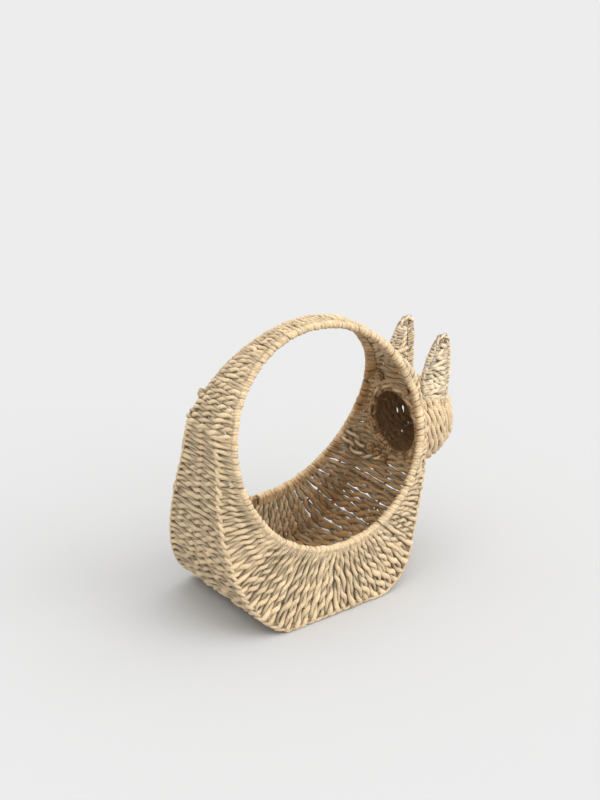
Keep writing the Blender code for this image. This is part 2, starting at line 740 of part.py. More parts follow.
# Knots of cord inside the chest, where the head is tied to the frame
def head_knots():
    height = HEAD_HEIGHT + HEAD_RING_RADIUS + KNOT_LIFT
    angle = math.degrees(math.atan2(height - HOOP_HEIGHT, HEAD_RING_X)) + 360
    edge = edge_point(angle, 1)
    way = direction(edge_point, angle, 1)
    wall = edge + reach(radial(angle), way, HEM_RADIUS - WEAVE_THICKNESS)
    for label, side in (("front", -1), ("back", 1)):
        builder = bmesh.new()
        bmesh.ops.create_uvsphere(builder, u_segments=12, v_segments=8, radius=KNOT_SIZE / 2)
        knot = finish_mesh(f"{label}_head_knot", builder, CORD_INSIDE)
        reach_in = KNOT_SIZE / 2 + 2 * CLEARANCE
        spread = KNOT_SPREAD_SHARE * HEAD_RING_RADIUS
        knot.location = (wall.x - reach_in, side * spread, height)


frame_wires()
spine_wires()
spreader_wires()
cross_wires()
body_weave()
head_pieces()
ear("front", -1)
ear("back", 1)
head_knots()
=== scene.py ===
# Storage basket in the shape of a lying rabbit: pairs of twisted paper cord, twined over a
# frame of bent wire. The frame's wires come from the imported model, and every row of cord
# is laid here. +X points to the rabbit's head, -Y is the front and +Z is up.
import math

import bpy
import numpy as np
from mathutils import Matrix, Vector


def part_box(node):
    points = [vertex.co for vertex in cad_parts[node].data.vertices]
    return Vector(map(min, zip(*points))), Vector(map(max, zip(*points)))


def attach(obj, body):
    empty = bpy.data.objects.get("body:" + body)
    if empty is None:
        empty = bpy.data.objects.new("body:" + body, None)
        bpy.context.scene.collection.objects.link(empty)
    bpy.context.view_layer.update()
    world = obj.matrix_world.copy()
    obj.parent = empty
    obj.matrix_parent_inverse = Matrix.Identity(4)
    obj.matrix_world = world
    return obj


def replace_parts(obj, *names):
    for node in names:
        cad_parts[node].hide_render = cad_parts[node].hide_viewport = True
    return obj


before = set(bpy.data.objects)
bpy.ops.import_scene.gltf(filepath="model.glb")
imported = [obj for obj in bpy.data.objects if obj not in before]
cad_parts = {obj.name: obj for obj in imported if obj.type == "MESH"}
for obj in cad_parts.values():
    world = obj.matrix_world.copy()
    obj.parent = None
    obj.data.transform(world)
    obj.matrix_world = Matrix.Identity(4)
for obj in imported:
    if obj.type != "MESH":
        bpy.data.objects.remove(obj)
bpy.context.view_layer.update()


# The floor and the light
# A plain pale sweep of paper under a broad lamp from above and a narrower one from the
# front right, with soft light all round. None of it is part of the basket.
FLOOR_GREY = 0.530
SKY_GREY = 0.845
SKY_LIGHT = 0.92
TOP_STRENGTH = 1.8
TOP_SPREAD = math.radians(96)
TOP_FROM = Vector((0.26, -0.30, 0.92))
SIDE_STRENGTH = 0.85
SIDE_SPREAD = math.radians(44)
SIDE_FROM = Vector((0.42, -0.72, 0.55))
FLOOR_HALF_SIZE = 8.0
EYE = Vector((-0.9188, -1.2107, 0.8726))
EYE_AZIMUTH = math.radians(-37.064)
EYE_ELEVATION = math.radians(24.751)
LENS = 90
SENSOR_WIDTH = 36
NEAREST_SEEN, FARTHEST_SEEN = 0.05, 50


def node_maker(tree):
    """Empties a node tree and returns a maker of its nodes. Their inputs are given as values
    or as the outputs of other nodes, and their settings by name."""
    tree.nodes.clear()

    def make(kind, sockets=None, **settings):
        node = tree.nodes.new(kind)
        for key, value in settings.items():
            setattr(node, key, value)
        for key, value in (sockets or {}).items():
            if isinstance(value, bpy.types.NodeSocket):
                tree.links.new(value, node.inputs[key])
            else:
                node.inputs[key].default_value = value
        return node

    return make


def new_material(name):
    """A material, and the maker of its nodes."""
    material = bpy.data.materials.new(name)
    material.use_nodes = True
    return material, node_maker(material.node_tree)


def make_floor():
    half = FLOOR_HALF_SIZE
    mesh = bpy.data.meshes.new("floor")
    corners = [(-half, -half, 0), (half, -half, 0), (half, half, 0), (-half, half, 0)]
    mesh.from_pydata(corners, [], [(0, 1, 2, 3)])
    floor = bpy.data.objects.new("floor", mesh)
    bpy.context.scene.collection.objects.link(floor)
    paper, make = new_material("floor_paper")
    shader = make("ShaderNodeBsdfPrincipled", {
        "Base Color": (FLOOR_GREY, FLOOR_GREY, FLOOR_GREY, 1), "Roughness": 1.0,
        "Specular IOR Level": 0.0})
    make("ShaderNodeOutputMaterial", {"Surface": shader.outputs["BSDF"]})
    mesh.materials.append(paper)


def make_sky():
    """Pale to the camera and in reflections, and a dimmer even light on the basket."""
    world = bpy.data.worlds.new("soft_light")
    bpy.context.scene.world = world
    world.use_nodes = True
    make = node_maker(world.node_tree)
    rays = make("ShaderNodeLightPath").outputs
    shown = rays["Is Camera Ray"]
    for kind in ("Is Glossy Ray", "Is Transmission Ray"):
        either = make("ShaderNodeMath", {0: shown, 1: rays[kind]}, operation="MAXIMUM")
        shown = either.outputs[0]
    lamp, paper = (make("ShaderNodeBackground", {"Color": (grey, grey, grey, 1),
                                                 "Strength": strength}).outputs[0]
                   for grey, strength in ((1, SKY_LIGHT), (SKY_GREY, 1)))
    choose = make("ShaderNodeMixShader", {"Fac": shown, 1: lamp, 2: paper})
    make("ShaderNodeOutputWorld", {"Surface": choose.outputs[0]})


def placed(name, data, facing):
    """Puts a lamp or a camera in the scene, turned to look along facing."""
    thing = bpy.data.objects.new(name, data)
    bpy.context.scene.collection.objects.link(thing)
    thing.rotation_mode = "QUATERNION"
    thing.rotation_quaternion = facing.to_track_quat("-Z", "Y")
    return thing


def add_lamp(name, strength, spread, source):
    lamp = bpy.data.lights.new(name, "SUN")
    lamp.energy, lamp.angle = strength, spread
    placed(name, lamp, -source)


def make_camera():
    lens = bpy.data.cameras.new("camera")
    lens.lens = LENS
    lens.sensor_width = SENSOR_WIDTH
    lens.clip_start, lens.clip_end = NEAREST_SEEN, FARTHEST_SEEN
    flat = math.cos(EYE_ELEVATION)
    back = Vector((math.sin(EYE_AZIMUTH) * flat, -math.cos(EYE_AZIMUTH) * flat,
                   math.sin(EYE_ELEVATION)))
    camera = placed("camera", lens, -back)
    camera.location = EYE
    bpy.context.scene.camera = camera


make_floor()
make_sky()
add_lamp("top_light", TOP_STRENGTH, TOP_SPREAD, TOP_FROM)
add_lamp("side_light", SIDE_STRENGTH, SIDE_SPREAD, SIDE_FROM)
make_camera()
bpy.context.scene.view_settings.view_transform = "Standard"


# The wires of the frame
# Bent steel wire, spot-welded and lacquered a straw colour so that it doesn't show between
# the cords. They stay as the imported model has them; the curves below say where they run.
HOOP_HEIGHT = 0.1495
HOOP_HALF_HEIGHT = 0.0908
BODY_HALF_LENGTH = 0.109
BASE_HALF_DEPTH = 0.0626
HOOP_HALF_LENGTH = BODY_HALF_LENGTH - 0.01375
HOOP_HALF_DEPTH = BASE_HALF_DEPTH - 0.0064
FOOT_HEIGHT = 0.00325
LACQUER_DEEP = (0.21, 0.15, 0.085, 1)
LACQUER_LIGHT = (0.35, 0.26, 0.15, 1)
LACQUER_SPOTS = 260
LEFT_SHOULDER = 166.0
RIGHT_SHOULDER = 374.0
RIM_DEPTH = ((-1.0, 1.0), (-0.5, 0.852), (0.0, 0.632), (0.5, 0.382), (1.0, 0.142))
EDGE_OUTLINE = (
    (-0.935, 0.24), (-0.945, 0.174), (-0.954, 0.0), (-0.991, -0.201), (-1.0, -0.401),
    (-0.963, -0.615), (-0.862, -0.803), (-0.734, -0.916), (-0.56, -0.984), (-0.275, -1.0),
    (0.0, -1.0), (0.27, -0.987), (0.459, -0.943), (0.587, -0.876), (0.706, -0.742),
    (0.798, -0.589), (0.872, -0.441), (0.904, -0.301), (0.917, -0.167), (0.918, 0.0),
    (0.925, 0.08), (0.945, 0.174), (0.95, 0.24))
LEFT_DEPTH = ((-1.0, 1.01), (-0.803, 0.851), (-0.602, 0.701), (-0.401, 0.570),
              (-0.2, 0.457), (0.0, 0.364), (0.174, 0.297), (0.3, 0.27))
RIGHT_DEPTH = ((-1.0, 1.01), (-0.803, 0.855), (-0.602, 0.720), (-0.401, 0.640),
               (-0.167, 0.617), (-0.04, 0.565), (0.08, 0.45), (0.174, 0.33), (0.3, 0.27))


def smooth_curve(table, scale=1.0):
    """A natural cubic spline through (place, value) rows, for arrays of places."""
    places, values = np.array(table, float).T
    values = values * scale
    count, steps = len(places), np.diff(places)
    slopes = np.diff(values) / steps
    system, right = np.eye(count), np.zeros(count)
    for i in range(1, count - 1):
        system[i, i - 1:i + 2] = steps[i - 1], 2 * (steps[i - 1] + steps[i]), steps[i]
        right[i] = 6 * (slopes[i] - slopes[i - 1])
    bends = np.linalg.solve(system, right)

    def value_at(place):
        place = np.asarray(place, float)
        i = np.clip(np.searchsorted(places, place) - 1, 0, count - 2)
        past = place - places[i]
        linear = slopes[i] - steps[i] * (2 * bends[i] + bends[i + 1]) / 6
        cubic = (bends[i + 1] - bends[i]) / (6 * steps[i])
        return values[i] + past * (linear + past * (bends[i] / 2 + past * cubic))

    return value_at


def outline_in_polar_form():
    rows = []
    for x_share, z_share in EDGE_OUTLINE:
        x, z = x_share * BODY_HALF_LENGTH, z_share * HOOP_HEIGHT
        rows.append((math.degrees(math.atan2(z, x)) % 360, math.hypot(x, z)))
    return [(a + 360 if a < rows[0][0] - 90 else a, radius) for a, radius in rows]


rim_depth = smooth_curve(RIM_DEPTH, HOOP_HALF_DEPTH)
left_depth = smooth_curve(LEFT_DEPTH, BASE_HALF_DEPTH)
right_depth = smooth_curve(RIGHT_DEPTH, BASE_HALF_DEPTH)
edge_radius = smooth_curve(outline_in_polar_form())


def rays(angles):
    turn = np.radians(np.asarray(angles, float))
    return np.stack([np.cos(turn), np.zeros_like(turn), np.sin(turn)], -1)


def rim_place(angles, side):
    """The middle of a rim wire, at angles about the hoop's axis."""
    ray = rays(angles)
    radius = 1 / np.hypot(ray[..., 0] / HOOP_HALF_LENGTH, ray[..., 2] / HOOP_HALF_HEIGHT)
    place = ray * radius[..., None]
    place[..., 1] = side * rim_depth(place[..., 2] / HOOP_HALF_HEIGHT)
    place[..., 2] += HOOP_HEIGHT
    return place


def edge_place(angles, side):
    """The middle of a lower edge wire."""
    ray = rays(angles)
    radius = edge_radius(angles)
    floor_radius = (HOOP_HEIGHT - FOOT_HEIGHT) / np.maximum(-ray[..., 2], 0.01)
    radius = np.where(ray[..., 2] < 0, np.minimum(radius, floor_radius), radius)
    place = ray * radius[..., None]
    level = place[..., 2] / HOOP_HEIGHT
    depth = np.where(ray[..., 0] < 0, left_depth(level), right_depth(level))
    place[..., 1] = side * depth
    place[..., 2] += HOOP_HEIGHT
    return place


def unit(vectors):
    vectors = np.asarray(vectors, float)
    return vectors / np.linalg.norm(vectors, axis=-1, keepdims=True)


def tangent_of(place, angle, side):
    nudge = 0.2
    return unit(place(angle + nudge, side) - place(angle - nudge, side))


def wire_finish():
    """Straw lacquer on steel, with thin spots where the cords rub."""
    lacquer, make = new_material("lacquered_wire")
    place = make("ShaderNodeTexCoord").outputs["Object"]
    spots = make("ShaderNodeTexNoise", {"Vector": place, "Scale": LACQUER_SPOTS,
                                        "Detail": 4}).outputs["Fac"]
    colours = make("ShaderNodeValToRGB", {"Fac": spots})
    stops = colours.color_ramp.elements
    stops[0].position, stops[0].color = 0.35, LACQUER_DEEP
    stops[1].position, stops[1].color = 0.6, LACQUER_LIGHT
    dull = make("ShaderNodeMapRange", {"Value": spots, "To Min": 0.35, "To Max": 0.6})
    bump = make("ShaderNodeBump", {"Height": spots, "Strength": 0.3, "Distance": 0.0001})
    shader = make("ShaderNodeBsdfPrincipled", {
        "Base Color": colours.outputs["Color"], "Metallic": 0.35, "Coat Weight": 0.2,
        "Roughness": dull.outputs["Result"], "Normal": bump.outputs["Normal"]})
    make("ShaderNodeOutputMaterial", {"Surface": shader.outputs["BSDF"]})
    return lacquer


LACQUER = wire_finish()
for name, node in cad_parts.items():
    if name.endswith("_wire") or "_rib_wire_" in name:
        node.data.materials.clear()
        node.data.materials.append(LACQUER)


# The paper cord
# Brown paper is twisted into a cord of 3 to 4 mm. It keeps a fine slanting crease from its
# own twist, some fibre, and a tone that changes from roll to roll. Its finish also paints
# shade into the creases, into the hollows between plies and onto the sides that face in.
PLY_RADIUS = 0.0017
CREASE_PITCH = 0.0042
FIBRE_SCALE = 3.0
FIBRE_STRETCH = 105.0
FIBRE_SHIFT = 40.0
PATCH_SCALE = 95
FLECK_SCALE = 210
CORD_LIGHT = (0.910, 0.722, 0.470)
CORD_DEEP = (0.690, 0.497, 0.285)
CORD_OLIVE = (0.560, 0.470, 0.230)
CORD_RUDDY = (0.640, 0.400, 0.250)
# Painted shade: darker in the hollows between plies, and a tint for the cords' sides that face
# in
HOLLOW_SHADE = 0.24
PAINTED_SHADE_TINT = (0.62, 0.475, 0.32)
CORD_SIDES = 7
WOBBLE_SCALE = 110.0
WOBBLE_REACH = 1.6
LOWEST_POINT = 0.0002


def node_sums(make):
    """Short ways to make two kinds of node: one does a sum with numbers, and one scales a
    vector or a colour."""

    def calc(operation, first, second=0.0):
        return make("ShaderNodeMath", {0: first, 1: second}, operation=operation).outputs[0]

    def scaled(value, factor):
        return make("ShaderNodeVectorMath", {0: value, "Scale": factor},
                    operation="SCALE").outputs[0]

    return calc, scaled


def cord_finish(name, light, deep, painted_shade_colour):
    """Twisted paper, with painted shade in its creases, in the hollows between its plies
    and on its inner side. The cord's own tree stores the places and heights that it reads.
    """
    paper, make = new_material(name)
    calc, scaled = node_sums(make)

    def blend(share, first, second, way="MIX"):
        pair = [(*value, 1) if isinstance(value, tuple) else value for value in (first, second)]
        return make("ShaderNodeMix", {0: share, 6: pair[0], 7: pair[1]}, data_type="RGBA",
                    blend_type=way).outputs[2]

    def mapped(value, low, high, first, last, way="LINEAR"):
        return make("ShaderNodeMapRange", {0: value, 1: low, 2: high, 3: first, 4: last},
                    interpolation_type=way).outputs["Result"]

    def noise(place, scale, detail, roughness=0.5):
        return make("ShaderNodeTexNoise", {"Vector": place, "Scale": scale, "Detail": detail,
                                           "Roughness": roughness}).outputs["Fac"]

    def stored(field, kind="Fac"):
        return make("ShaderNodeAttribute", attribute_name=field).outputs[kind]

    # Places on the cord: round it as a cosine and a sine, and along it in metres
    x, y = make("ShaderNodeSeparateXYZ", {0: stored("ring", "Vector")}).outputs[:2]
    along, tone = stored("along"), stored("tone")
    turn = calc("MULTIPLY", along, math.tau / CREASE_PITCH)
    sine, cosine = calc("SINE", turn), calc("COSINE", turn)
    helix_sine = calc("ADD", calc("MULTIPLY", x, sine), calc("MULTIPLY", y, cosine))
    helix_cosine = calc("SUBTRACT", calc("MULTIPLY", x, cosine), calc("MULTIPLY", y, sine))
    crease = calc("MULTIPLY", calc("MULTIPLY", helix_sine, helix_cosine), 2.0)
    run = calc("ADD", calc("MULTIPLY", along, FIBRE_STRETCH),
               calc("MULTIPLY", tone, FIBRE_SHIFT))
    fibre_place = make("ShaderNodeCombineXYZ", {0: helix_sine, 1: helix_cosine, 2: run})
    fibre = noise(fibre_place.outputs[0], FIBRE_SCALE, 5, 0.65)
    place = make("ShaderNodeTexCoord").outputs["Object"]
    patches, flecks = noise(place, PATCH_SCALE, 3), noise(place, FLECK_SCALE, 2)

    mixed = calc("ADD", calc("MULTIPLY", fibre, 0.55), calc("MULTIPLY", patches, 0.45))
    colour = blend(mapped(mixed, 0.25, 0.75, 0, 1), deep, light)
    colour = blend(mapped(flecks, 0.60, 0.74, 0, 0.5), colour, CORD_OLIVE)
    colour = blend(mapped(flecks, 0.40, 0.26, 0, 0.5), colour, CORD_RUDDY)
    colour = scaled(colour, mapped(tone, 0, 1, 0.86, 1.06))
    # Painted shade: darker in the creases of the twist, in the hollows between plies, and on
    # the sides that face in
    colour = scaled(colour, mapped(crease, -1.0, -0.4, 0.85, 1.0))
    colour = scaled(colour, mapped(stored("height"), 0, 1.15, HOLLOW_SHADE, 1, "SMOOTHSTEP"))
    colour = blend(stored("inner"), colour, blend(1.0, colour, painted_shade_colour, "MULTIPLY"))

    relief = calc("ADD", calc("MULTIPLY", crease, 0.30), calc("MULTIPLY", fibre, 1.3))
    bump = make("ShaderNodeBump", {"Height": relief, "Strength": 0.8, "Distance": 0.0005})
    shader = make("ShaderNodeBsdfPrincipled", {
        "Base Color": colour, "Specular IOR Level": 0.28, "Sheen Weight": 0.12,
        "Roughness": mapped(fibre, 0, 1, 0.66, 0.9), "Normal": bump.outputs["Normal"]})
    make("ShaderNodeOutputMaterial", {"Surface": shader.outputs["BSDF"]})
    return paper


CORD = cord_finish("paper_cord", CORD_LIGHT, CORD_DEEP, PAINTED_SHADE_TINT)


def cord_tree():
    """Lays the plies of each row beside its middle line, turns them round each other and
    gives them their thickness. A row's points say which way is across and out, how far the
    plies stand from the middle, their turn, and how thick they are pressed."""
    tree = bpy.data.node_groups.new("twined_cords", "GeometryNodeTree")
    for label, kind in (("Rows", "Geometry"), ("Plies", "Int"), ("Unevenness", "Float"),
                        ("Seed", "Int"), ("Finish", "Material")):
        tree.interface.new_socket(label, in_out="INPUT", socket_type="NodeSocket" + kind)
    tree.interface.new_socket("Cords", in_out="OUTPUT", socket_type="NodeSocketGeometry")
    make = node_maker(tree)
    calc, scaled = node_sums(make)

    def combined(operation, first, second, result="Vector"):
        return make("ShaderNodeVectorMath", {0: first, 1: second},
                    operation=operation).outputs[result]

    def stored(name, kind="FLOAT"):
        return make("GeometryNodeInputNamedAttribute", {"Name": name},
                    data_type=kind).outputs["Attribute"]

    def store(geometry, name, value, kind="FLOAT", domain="POINT"):
        return make("GeometryNodeStoreNamedAttribute",
                    {"Geometry": geometry, "Name": name, "Value": value},
                    data_type=kind, domain=domain).outputs[0]

    def position():
        return make("GeometryNodeInputPosition").outputs[0]

    # The plies' middle lines
    given = make("NodeGroupInput").outputs
    lines = make("GeometryNodeMeshToCurve", {0: given["Rows"]}).outputs[0]
    doubled = make("GeometryNodeDuplicateElements",
                   {"Geometry": lines, "Amount": given["Plies"]}, domain="SPLINE").outputs
    share = calc("DIVIDE", doubled["Duplicate Index"], given["Plies"])
    turn = calc("ADD", stored("turn"), calc("MULTIPLY", share, math.tau))
    across = scaled(stored("across", "FLOAT_VECTOR"), calc("COSINE", turn))
    outward = scaled(stored("outward", "FLOAT_VECTOR"), calc("SINE", turn))
    aside = scaled(combined("ADD", across, outward), stored("spread"))
    where = position()
    wobble = make("ShaderNodeTexNoise", {"Vector": where, "Scale": WOBBLE_SCALE, "Detail": 1.0,
                                         "W": calc("ADD", share, given["Seed"])},
                  noise_dimensions="4D").outputs
    reach = calc("MULTIPLY", given["Unevenness"], PLY_RADIUS * WOBBLE_REACH)
    shake = scaled(combined("SUBTRACT", wobble["Color"], (0.5, 0.5, 0.5)), reach)
    centred = store(doubled["Geometry"], "middle", where, "FLOAT_VECTOR")
    moved = make("GeometryNodeSetPosition",
                 {"Geometry": centred, "Offset": combined("ADD", aside, shake)}).outputs[0]
    chance = make("FunctionNodeRandomValue", {"Seed": given["Seed"]}, data_type="FLOAT")
    toned = store(moved, "tone", chance.outputs[1], domain="CURVE")
    length = make("GeometryNodeSplineParameter").outputs["Length"]
    measured = store(toned, "along", length)

    # Their thickness
    swell = calc("MULTIPLY", calc("SUBTRACT", wobble["Fac"], 0.5), given["Unevenness"])
    girth = calc("MULTIPLY", calc("ADD", swell, 1.0), stored("press"))
    sized = make("GeometryNodeSetCurveRadius",
                 {"Curve": measured, "Radius": calc("MULTIPLY", girth, PLY_RADIUS)})
    circle = make("GeometryNodeCurvePrimitiveCircle",
                  {"Resolution": CORD_SIDES, "Radius": 1.0}, mode="RADIUS").outputs[0]
    circle = store(circle, "ring", position(), "FLOAT_VECTOR")
    tube = make("GeometryNodeCurveToMesh",
                {"Curve": sized.outputs[0], "Profile Curve": circle, "Fill Caps": True,
                 "Scale": make("GeometryNodeInputRadius").outputs[0]})
    x, y, z = make("ShaderNodeSeparateXYZ", {0: position()}).outputs
    pressed = make("ShaderNodeCombineXYZ", {0: x, 1: y, 2: calc("MAXIMUM", z, LOWEST_POINT)})
    standing = make("GeometryNodeSetPosition",
                    {"Geometry": tube.outputs[0], "Position": pressed.outputs[0]}).outputs[0]

    # What the finish reads: the height over the row's middle, for painted shade in the hollows
    # between plies, and how far a side faces in, for painted shade on its inner side
    rise = combined("SUBTRACT", position(), stored("middle", "FLOAT_VECTOR"))
    rise = combined("DOT_PRODUCT", rise, stored("outward", "FLOAT_VECTOR"), "Value")
    rise = calc("DIVIDE", rise, PLY_RADIUS)
    raised = store(standing, "height", calc("ABSOLUTE", rise))
    below = make("ShaderNodeClamp", {0: calc("SUBTRACT", stored("toast"), rise)}).outputs[0]
    sided = store(raised, "inner", below)
    smooth = make("GeometryNodeSetShadeSmooth", {"Geometry": sided}).outputs[0]
    real = make("GeometryNodeRealizeInstances", {"Geometry": smooth}).outputs[0]
    done = make("GeometryNodeSetMaterial", {"Geometry": real, "Material": given["Finish"]})
    make("NodeGroupOutput", {0: done.outputs[0]})
    return tree


CORD_TREE = cord_tree()
ROW_FIELDS = (("across", "FLOAT_VECTOR"), ("outward", "FLOAT_VECTOR"), ("spread", "FLOAT"),
              ("turn", "FLOAT"), ("press", "FLOAT"), ("toast", "FLOAT"))


def lay_cords(name, rows, seed, plies=2, unevenness=0.9, finish=CORD):
    """Makes one piece of cord from rows, each a dict of arrays with "points" and the
    fields above."""
    starts = np.cumsum([0] + [len(row["points"]) for row in rows])
    edges = [(i, i + 1) for first, last in zip(starts, starts[1:])
             for i in range(first, last - 1)]
    mesh = bpy.data.meshes.new(name + "_rows")
    mesh.from_pydata(np.concatenate([row["points"] for row in rows]).tolist(), edges, [])
    for field, kind in ROW_FIELDS:
        data = np.concatenate([row[field] for row in rows]).astype(np.float32)
        layer = mesh.attributes.new(field, kind, "POINT")
        layer.data.foreach_set("vector" if kind == "FLOAT_VECTOR" else "value", data.ravel())
    thing = bpy.data.objects.new(name, mesh)
    bpy.context.scene.collection.objects.link(thing)
    laid = thing.modifiers.new("twined", "NODES")
    laid.node_group = CORD_TREE
    chosen = {"Plies": plies, "Seed": seed, "Unevenness": unevenness, "Finish": finish}
    for socket in CORD_TREE.interface.items_tree:
        if socket.name in chosen and socket.in_out == "INPUT":
            laid[socket.identifier] = chosen[socket.name]
    view = bpy.context.evaluated_depsgraph_get()
    made = bpy.data.meshes.new_from_object(thing.evaluated_get(view),
                                           preserve_all_data_layers=True, depsgraph=view)
    thing.modifiers.clear()
    thing.data = made
    made.name = name
    bpy.data.meshes.remove(mesh)
    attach(thing, "root")
    return thing


# How a row is twined
# Two cords are turned round each other across a panel and hold every wire that they cross
# between them. At a rim they go round the wire side by side. At a corner of the basket
# they go over the edge wire on the outside, or pass it on the inside.
HALF_TURN = 0.0140
DWELL = 0.30
ROW_STEP = 0.0018
ROW_FLATNESS = 0.75
RIM_WRAP_RADIUS = 0.00155
RIM_MERGE = 0.0032
RIM_LIFT = 0.0013
LIFT_REACH = 0.0042
RIM_PRESS = 1.15
RIM_SPREAD = 0.0010
# Painted shade on the cords' inner sides and on the rim loops, and painted light that lifts it
# near the rims
RIM_PAINTED_LIGHT = 0.85
RIM_PAINTED_SHADE = 0.95
PAINTED_SHADE_FALL = 0.8
PAINTED_LIGHT_REACH = 0.022
CATCH_SPREAD = 0.0022
CATCH_REACH = 0.0024
CATCH_SWELL = 0.12
TOP_SWELL = 0.24
BLEND = 0.0045
END_SHARE = 0.3
TUCK = 0.0030
WRAP_FROM, WRAP_TO, WRAP_POINTS = -48, -312, 9
WRAP_RADIUS_CHANCE = 0.0001
WRAP_PRESS_CHANCE = 0.04
PRESS_CHANCE = 0.05
SPREAD_CHANCE = 0.08
SLANT_CHANCE = 0.0006
RIM_SLANT = 0.0020
THINNEST, THICKEST = 0.0016, 0.0024
CLOSEST, WIDEST = 0.0010, 0.0024
LEAST_TURNS = 1.4
SINK = 0.0002
SHORT_SHARE = 0.4
FIELDS = ("points", *(field for field, _ in ROW_FIELDS))
chance = np.random.default_rng(7)


def lengths_along(points):
    return np.concatenate([[0], np.cumsum(np.linalg.norm(np.diff(points, axis=0), axis=1))])


def read_along(places, marks, table):
    table = np.asarray(table, float)
    return np.stack([np.interp(places, marks, column) for column in table.T], -1)


def bent(points, count=8):
    """A smooth curve through a few points."""
    points = np.asarray(points, float)
    padded = np.concatenate([[2 * points[0] - points[1]], points,
                             [2 * points[-1] - points[-2]]])
    share = np.linspace(0, 1, count, endpoint=False)[:, None]
    parts = []
    for before, here, there, after in zip(padded, padded[1:], padded[2:], padded[3:]):
        parts.append(0.5 * (2 * here + (there - before) * share
                            + (2 * before - 5 * here + 4 * there - after) * share ** 2
                            + (3 * here - before - 3 * there + after) * share ** 3))
    return np.concatenate(parts + [points[-1:]])


def turns_between(length, shift, odd, half_turn):
    """Half turns from one fixed place to the next, with shift for the quarter turn between
    lying flat and holding a wire. Odd rows take the next best number, to interlock."""
    turns = length / half_turn
    best = max(round(turns - shift), 0) + shift
    if odd and turns > LEAST_TURNS:
        best = best - 1 if best > turns else best + 1
    return max(best, shift)


def fitted(pitch):
    """How thick and how far apart the cords of a row lie to fill its pitch."""
    radius = np.clip(0.0009 + 0.145 * pitch, THINNEST, THICKEST)
    return radius / PLY_RADIUS, np.clip(0.53 * pitch - radius, CLOSEST, WIDEST)


def twined(axis, outward, stretches, fit, odd=False, step=ROW_STEP, slack=0.5,
           catch_spread=CATCH_SPREAD, rim_ended=True):
    """The twined part of a row along an axis. stretches lists, for each one, where it ends,
    whether a wire is held there, its half turn and its hand; fit lists places along the
    axis with the thickness and spread there."""
    marks = lengths_along(axis)
    total = marks[-1]
    places = np.linspace(0, total, max(int(round(total / step)) + 1, 3))
    points = read_along(places, marks, axis)
    out = unit(read_along(places, marks, outward))
    across = unit(np.cross(unit(np.gradient(points, axis=0)), out))
    knots, phases, flat = [0.0], [0.0], True
    near, sway = np.zeros_like(places), np.zeros_like(places)
    for end, held, half_turn, hand in stretches:
        length = end - knots[-1]
        shift = 0.5 if flat == held else 0.0
        phases.append(phases[-1] + hand * turns_between(length, shift, odd, half_turn))
        share = np.clip((places - knots[-1]) / length, 0, 1)
        sway += np.sin(math.pi * share) * chance.normal(0, slack)
        knots.append(end)
        flat = not held
        if held:
            near = np.maximum(near, np.exp(-((places - end) / CATCH_REACH) ** 2))
    turn = math.pi * np.interp(places, knots, phases) + sway
    turn = turn - DWELL * np.sin(2 * turn)
    # Painted light near each rim wire lifts the painted shade on the inner side; a row that
    # ends at the ring has it at its start only
    far_end = total if rim_ended else 2 * total
    fit = np.array(fit, float) * (1, chance.normal(1, PRESS_CHANCE),
                                   chance.normal(1, SPREAD_CHANCE))
    width = np.interp(places, fit[:, 0], fit[:, 2])
    return {"points": points, "across": across, "outward": out * ROW_FLATNESS,
            "turn": turn, "spread": width + (catch_spread - width) * near,
            "press": np.interp(places, fit[:, 0], fit[:, 1]) * (
                1 + CATCH_SWELL * near + TOP_SWELL * np.sin(turn) ** 2 * (1 - near)),
            "toast": -RIM_PAINTED_LIGHT * np.exp(-np.minimum(places, far_end - places) / PAINTED_LIGHT_REACH)}


def plain_row(points, **fields):
    """A row whose fields are each an array, or one value for all its points, or zero."""
    row = {"points": points}
    for field, kind in ROW_FIELDS:
        shape = (len(points), 3) if kind == "FLOAT_VECTOR" else len(points)
        row[field] = np.broadcast_to(np.array(fields.get(field, 0.0), float), shape)
    return row


def wrap(centre, tangent, inward, out, near_end, radius=RIM_WRAP_RADIUS, spread=RIM_SPREAD,
         press=RIM_PRESS, slant=0.0, toasted=RIM_PAINTED_SHADE):
    """An open loop round a wire: from under the row's start at near_end, round the far side
    of the wire, and up to the row's face."""
    inward = unit(inward - tangent * np.dot(inward, tangent))
    out = unit(out - tangent * np.dot(out, tangent) - inward * np.dot(out, inward))
    radius = radius + chance.normal(0, WRAP_RADIUS_CHANCE)
    press = press * chance.normal(1, WRAP_PRESS_CHANCE)
    angle = np.radians(np.linspace(WRAP_FROM, WRAP_TO, WRAP_POINTS))[:, None]
    away = np.cos(angle) * inward + np.sin(angle) * out
    loop = centre + radius * away
    loop += tangent * slant * np.linspace(1, 0, WRAP_POINTS)[:, None]
    level = np.dot(near_end - centre, out)
    tail = near_end + inward * TUCK - out * (level + SINK) + tangent * slant
    away = np.concatenate([[-out], away])
    # Painted shade on the loop, deepest on the side that faces in
    return plain_row(np.concatenate([tail[None], loop]), across=tangent, outward=away,
                     spread=spread, press=press, toast=toasted - PAINTED_SHADE_FALL * away.dot(out))


def joined(*parts):
    return {field: np.concatenate([part[field] for part in parts]) for field in FIELDS}


def turned_back(part):
    return {field: part[field][::-1] for field in FIELDS}


def rim_slant(hand):
    return hand * RIM_SLANT + chance.normal(0, SLANT_CHANCE)


def from_wire(row, centre, tangent, **shape):
    """Starts a row with a loop round a wire."""
    here, way = row["points"][0], row["points"][1] - row["points"][0]
    tangent = tangent if tangent.dot(row["across"][0]) > 0 else -tangent
    return joined(wrap(centre, tangent, way, row["outward"][0], here, **shape), row)


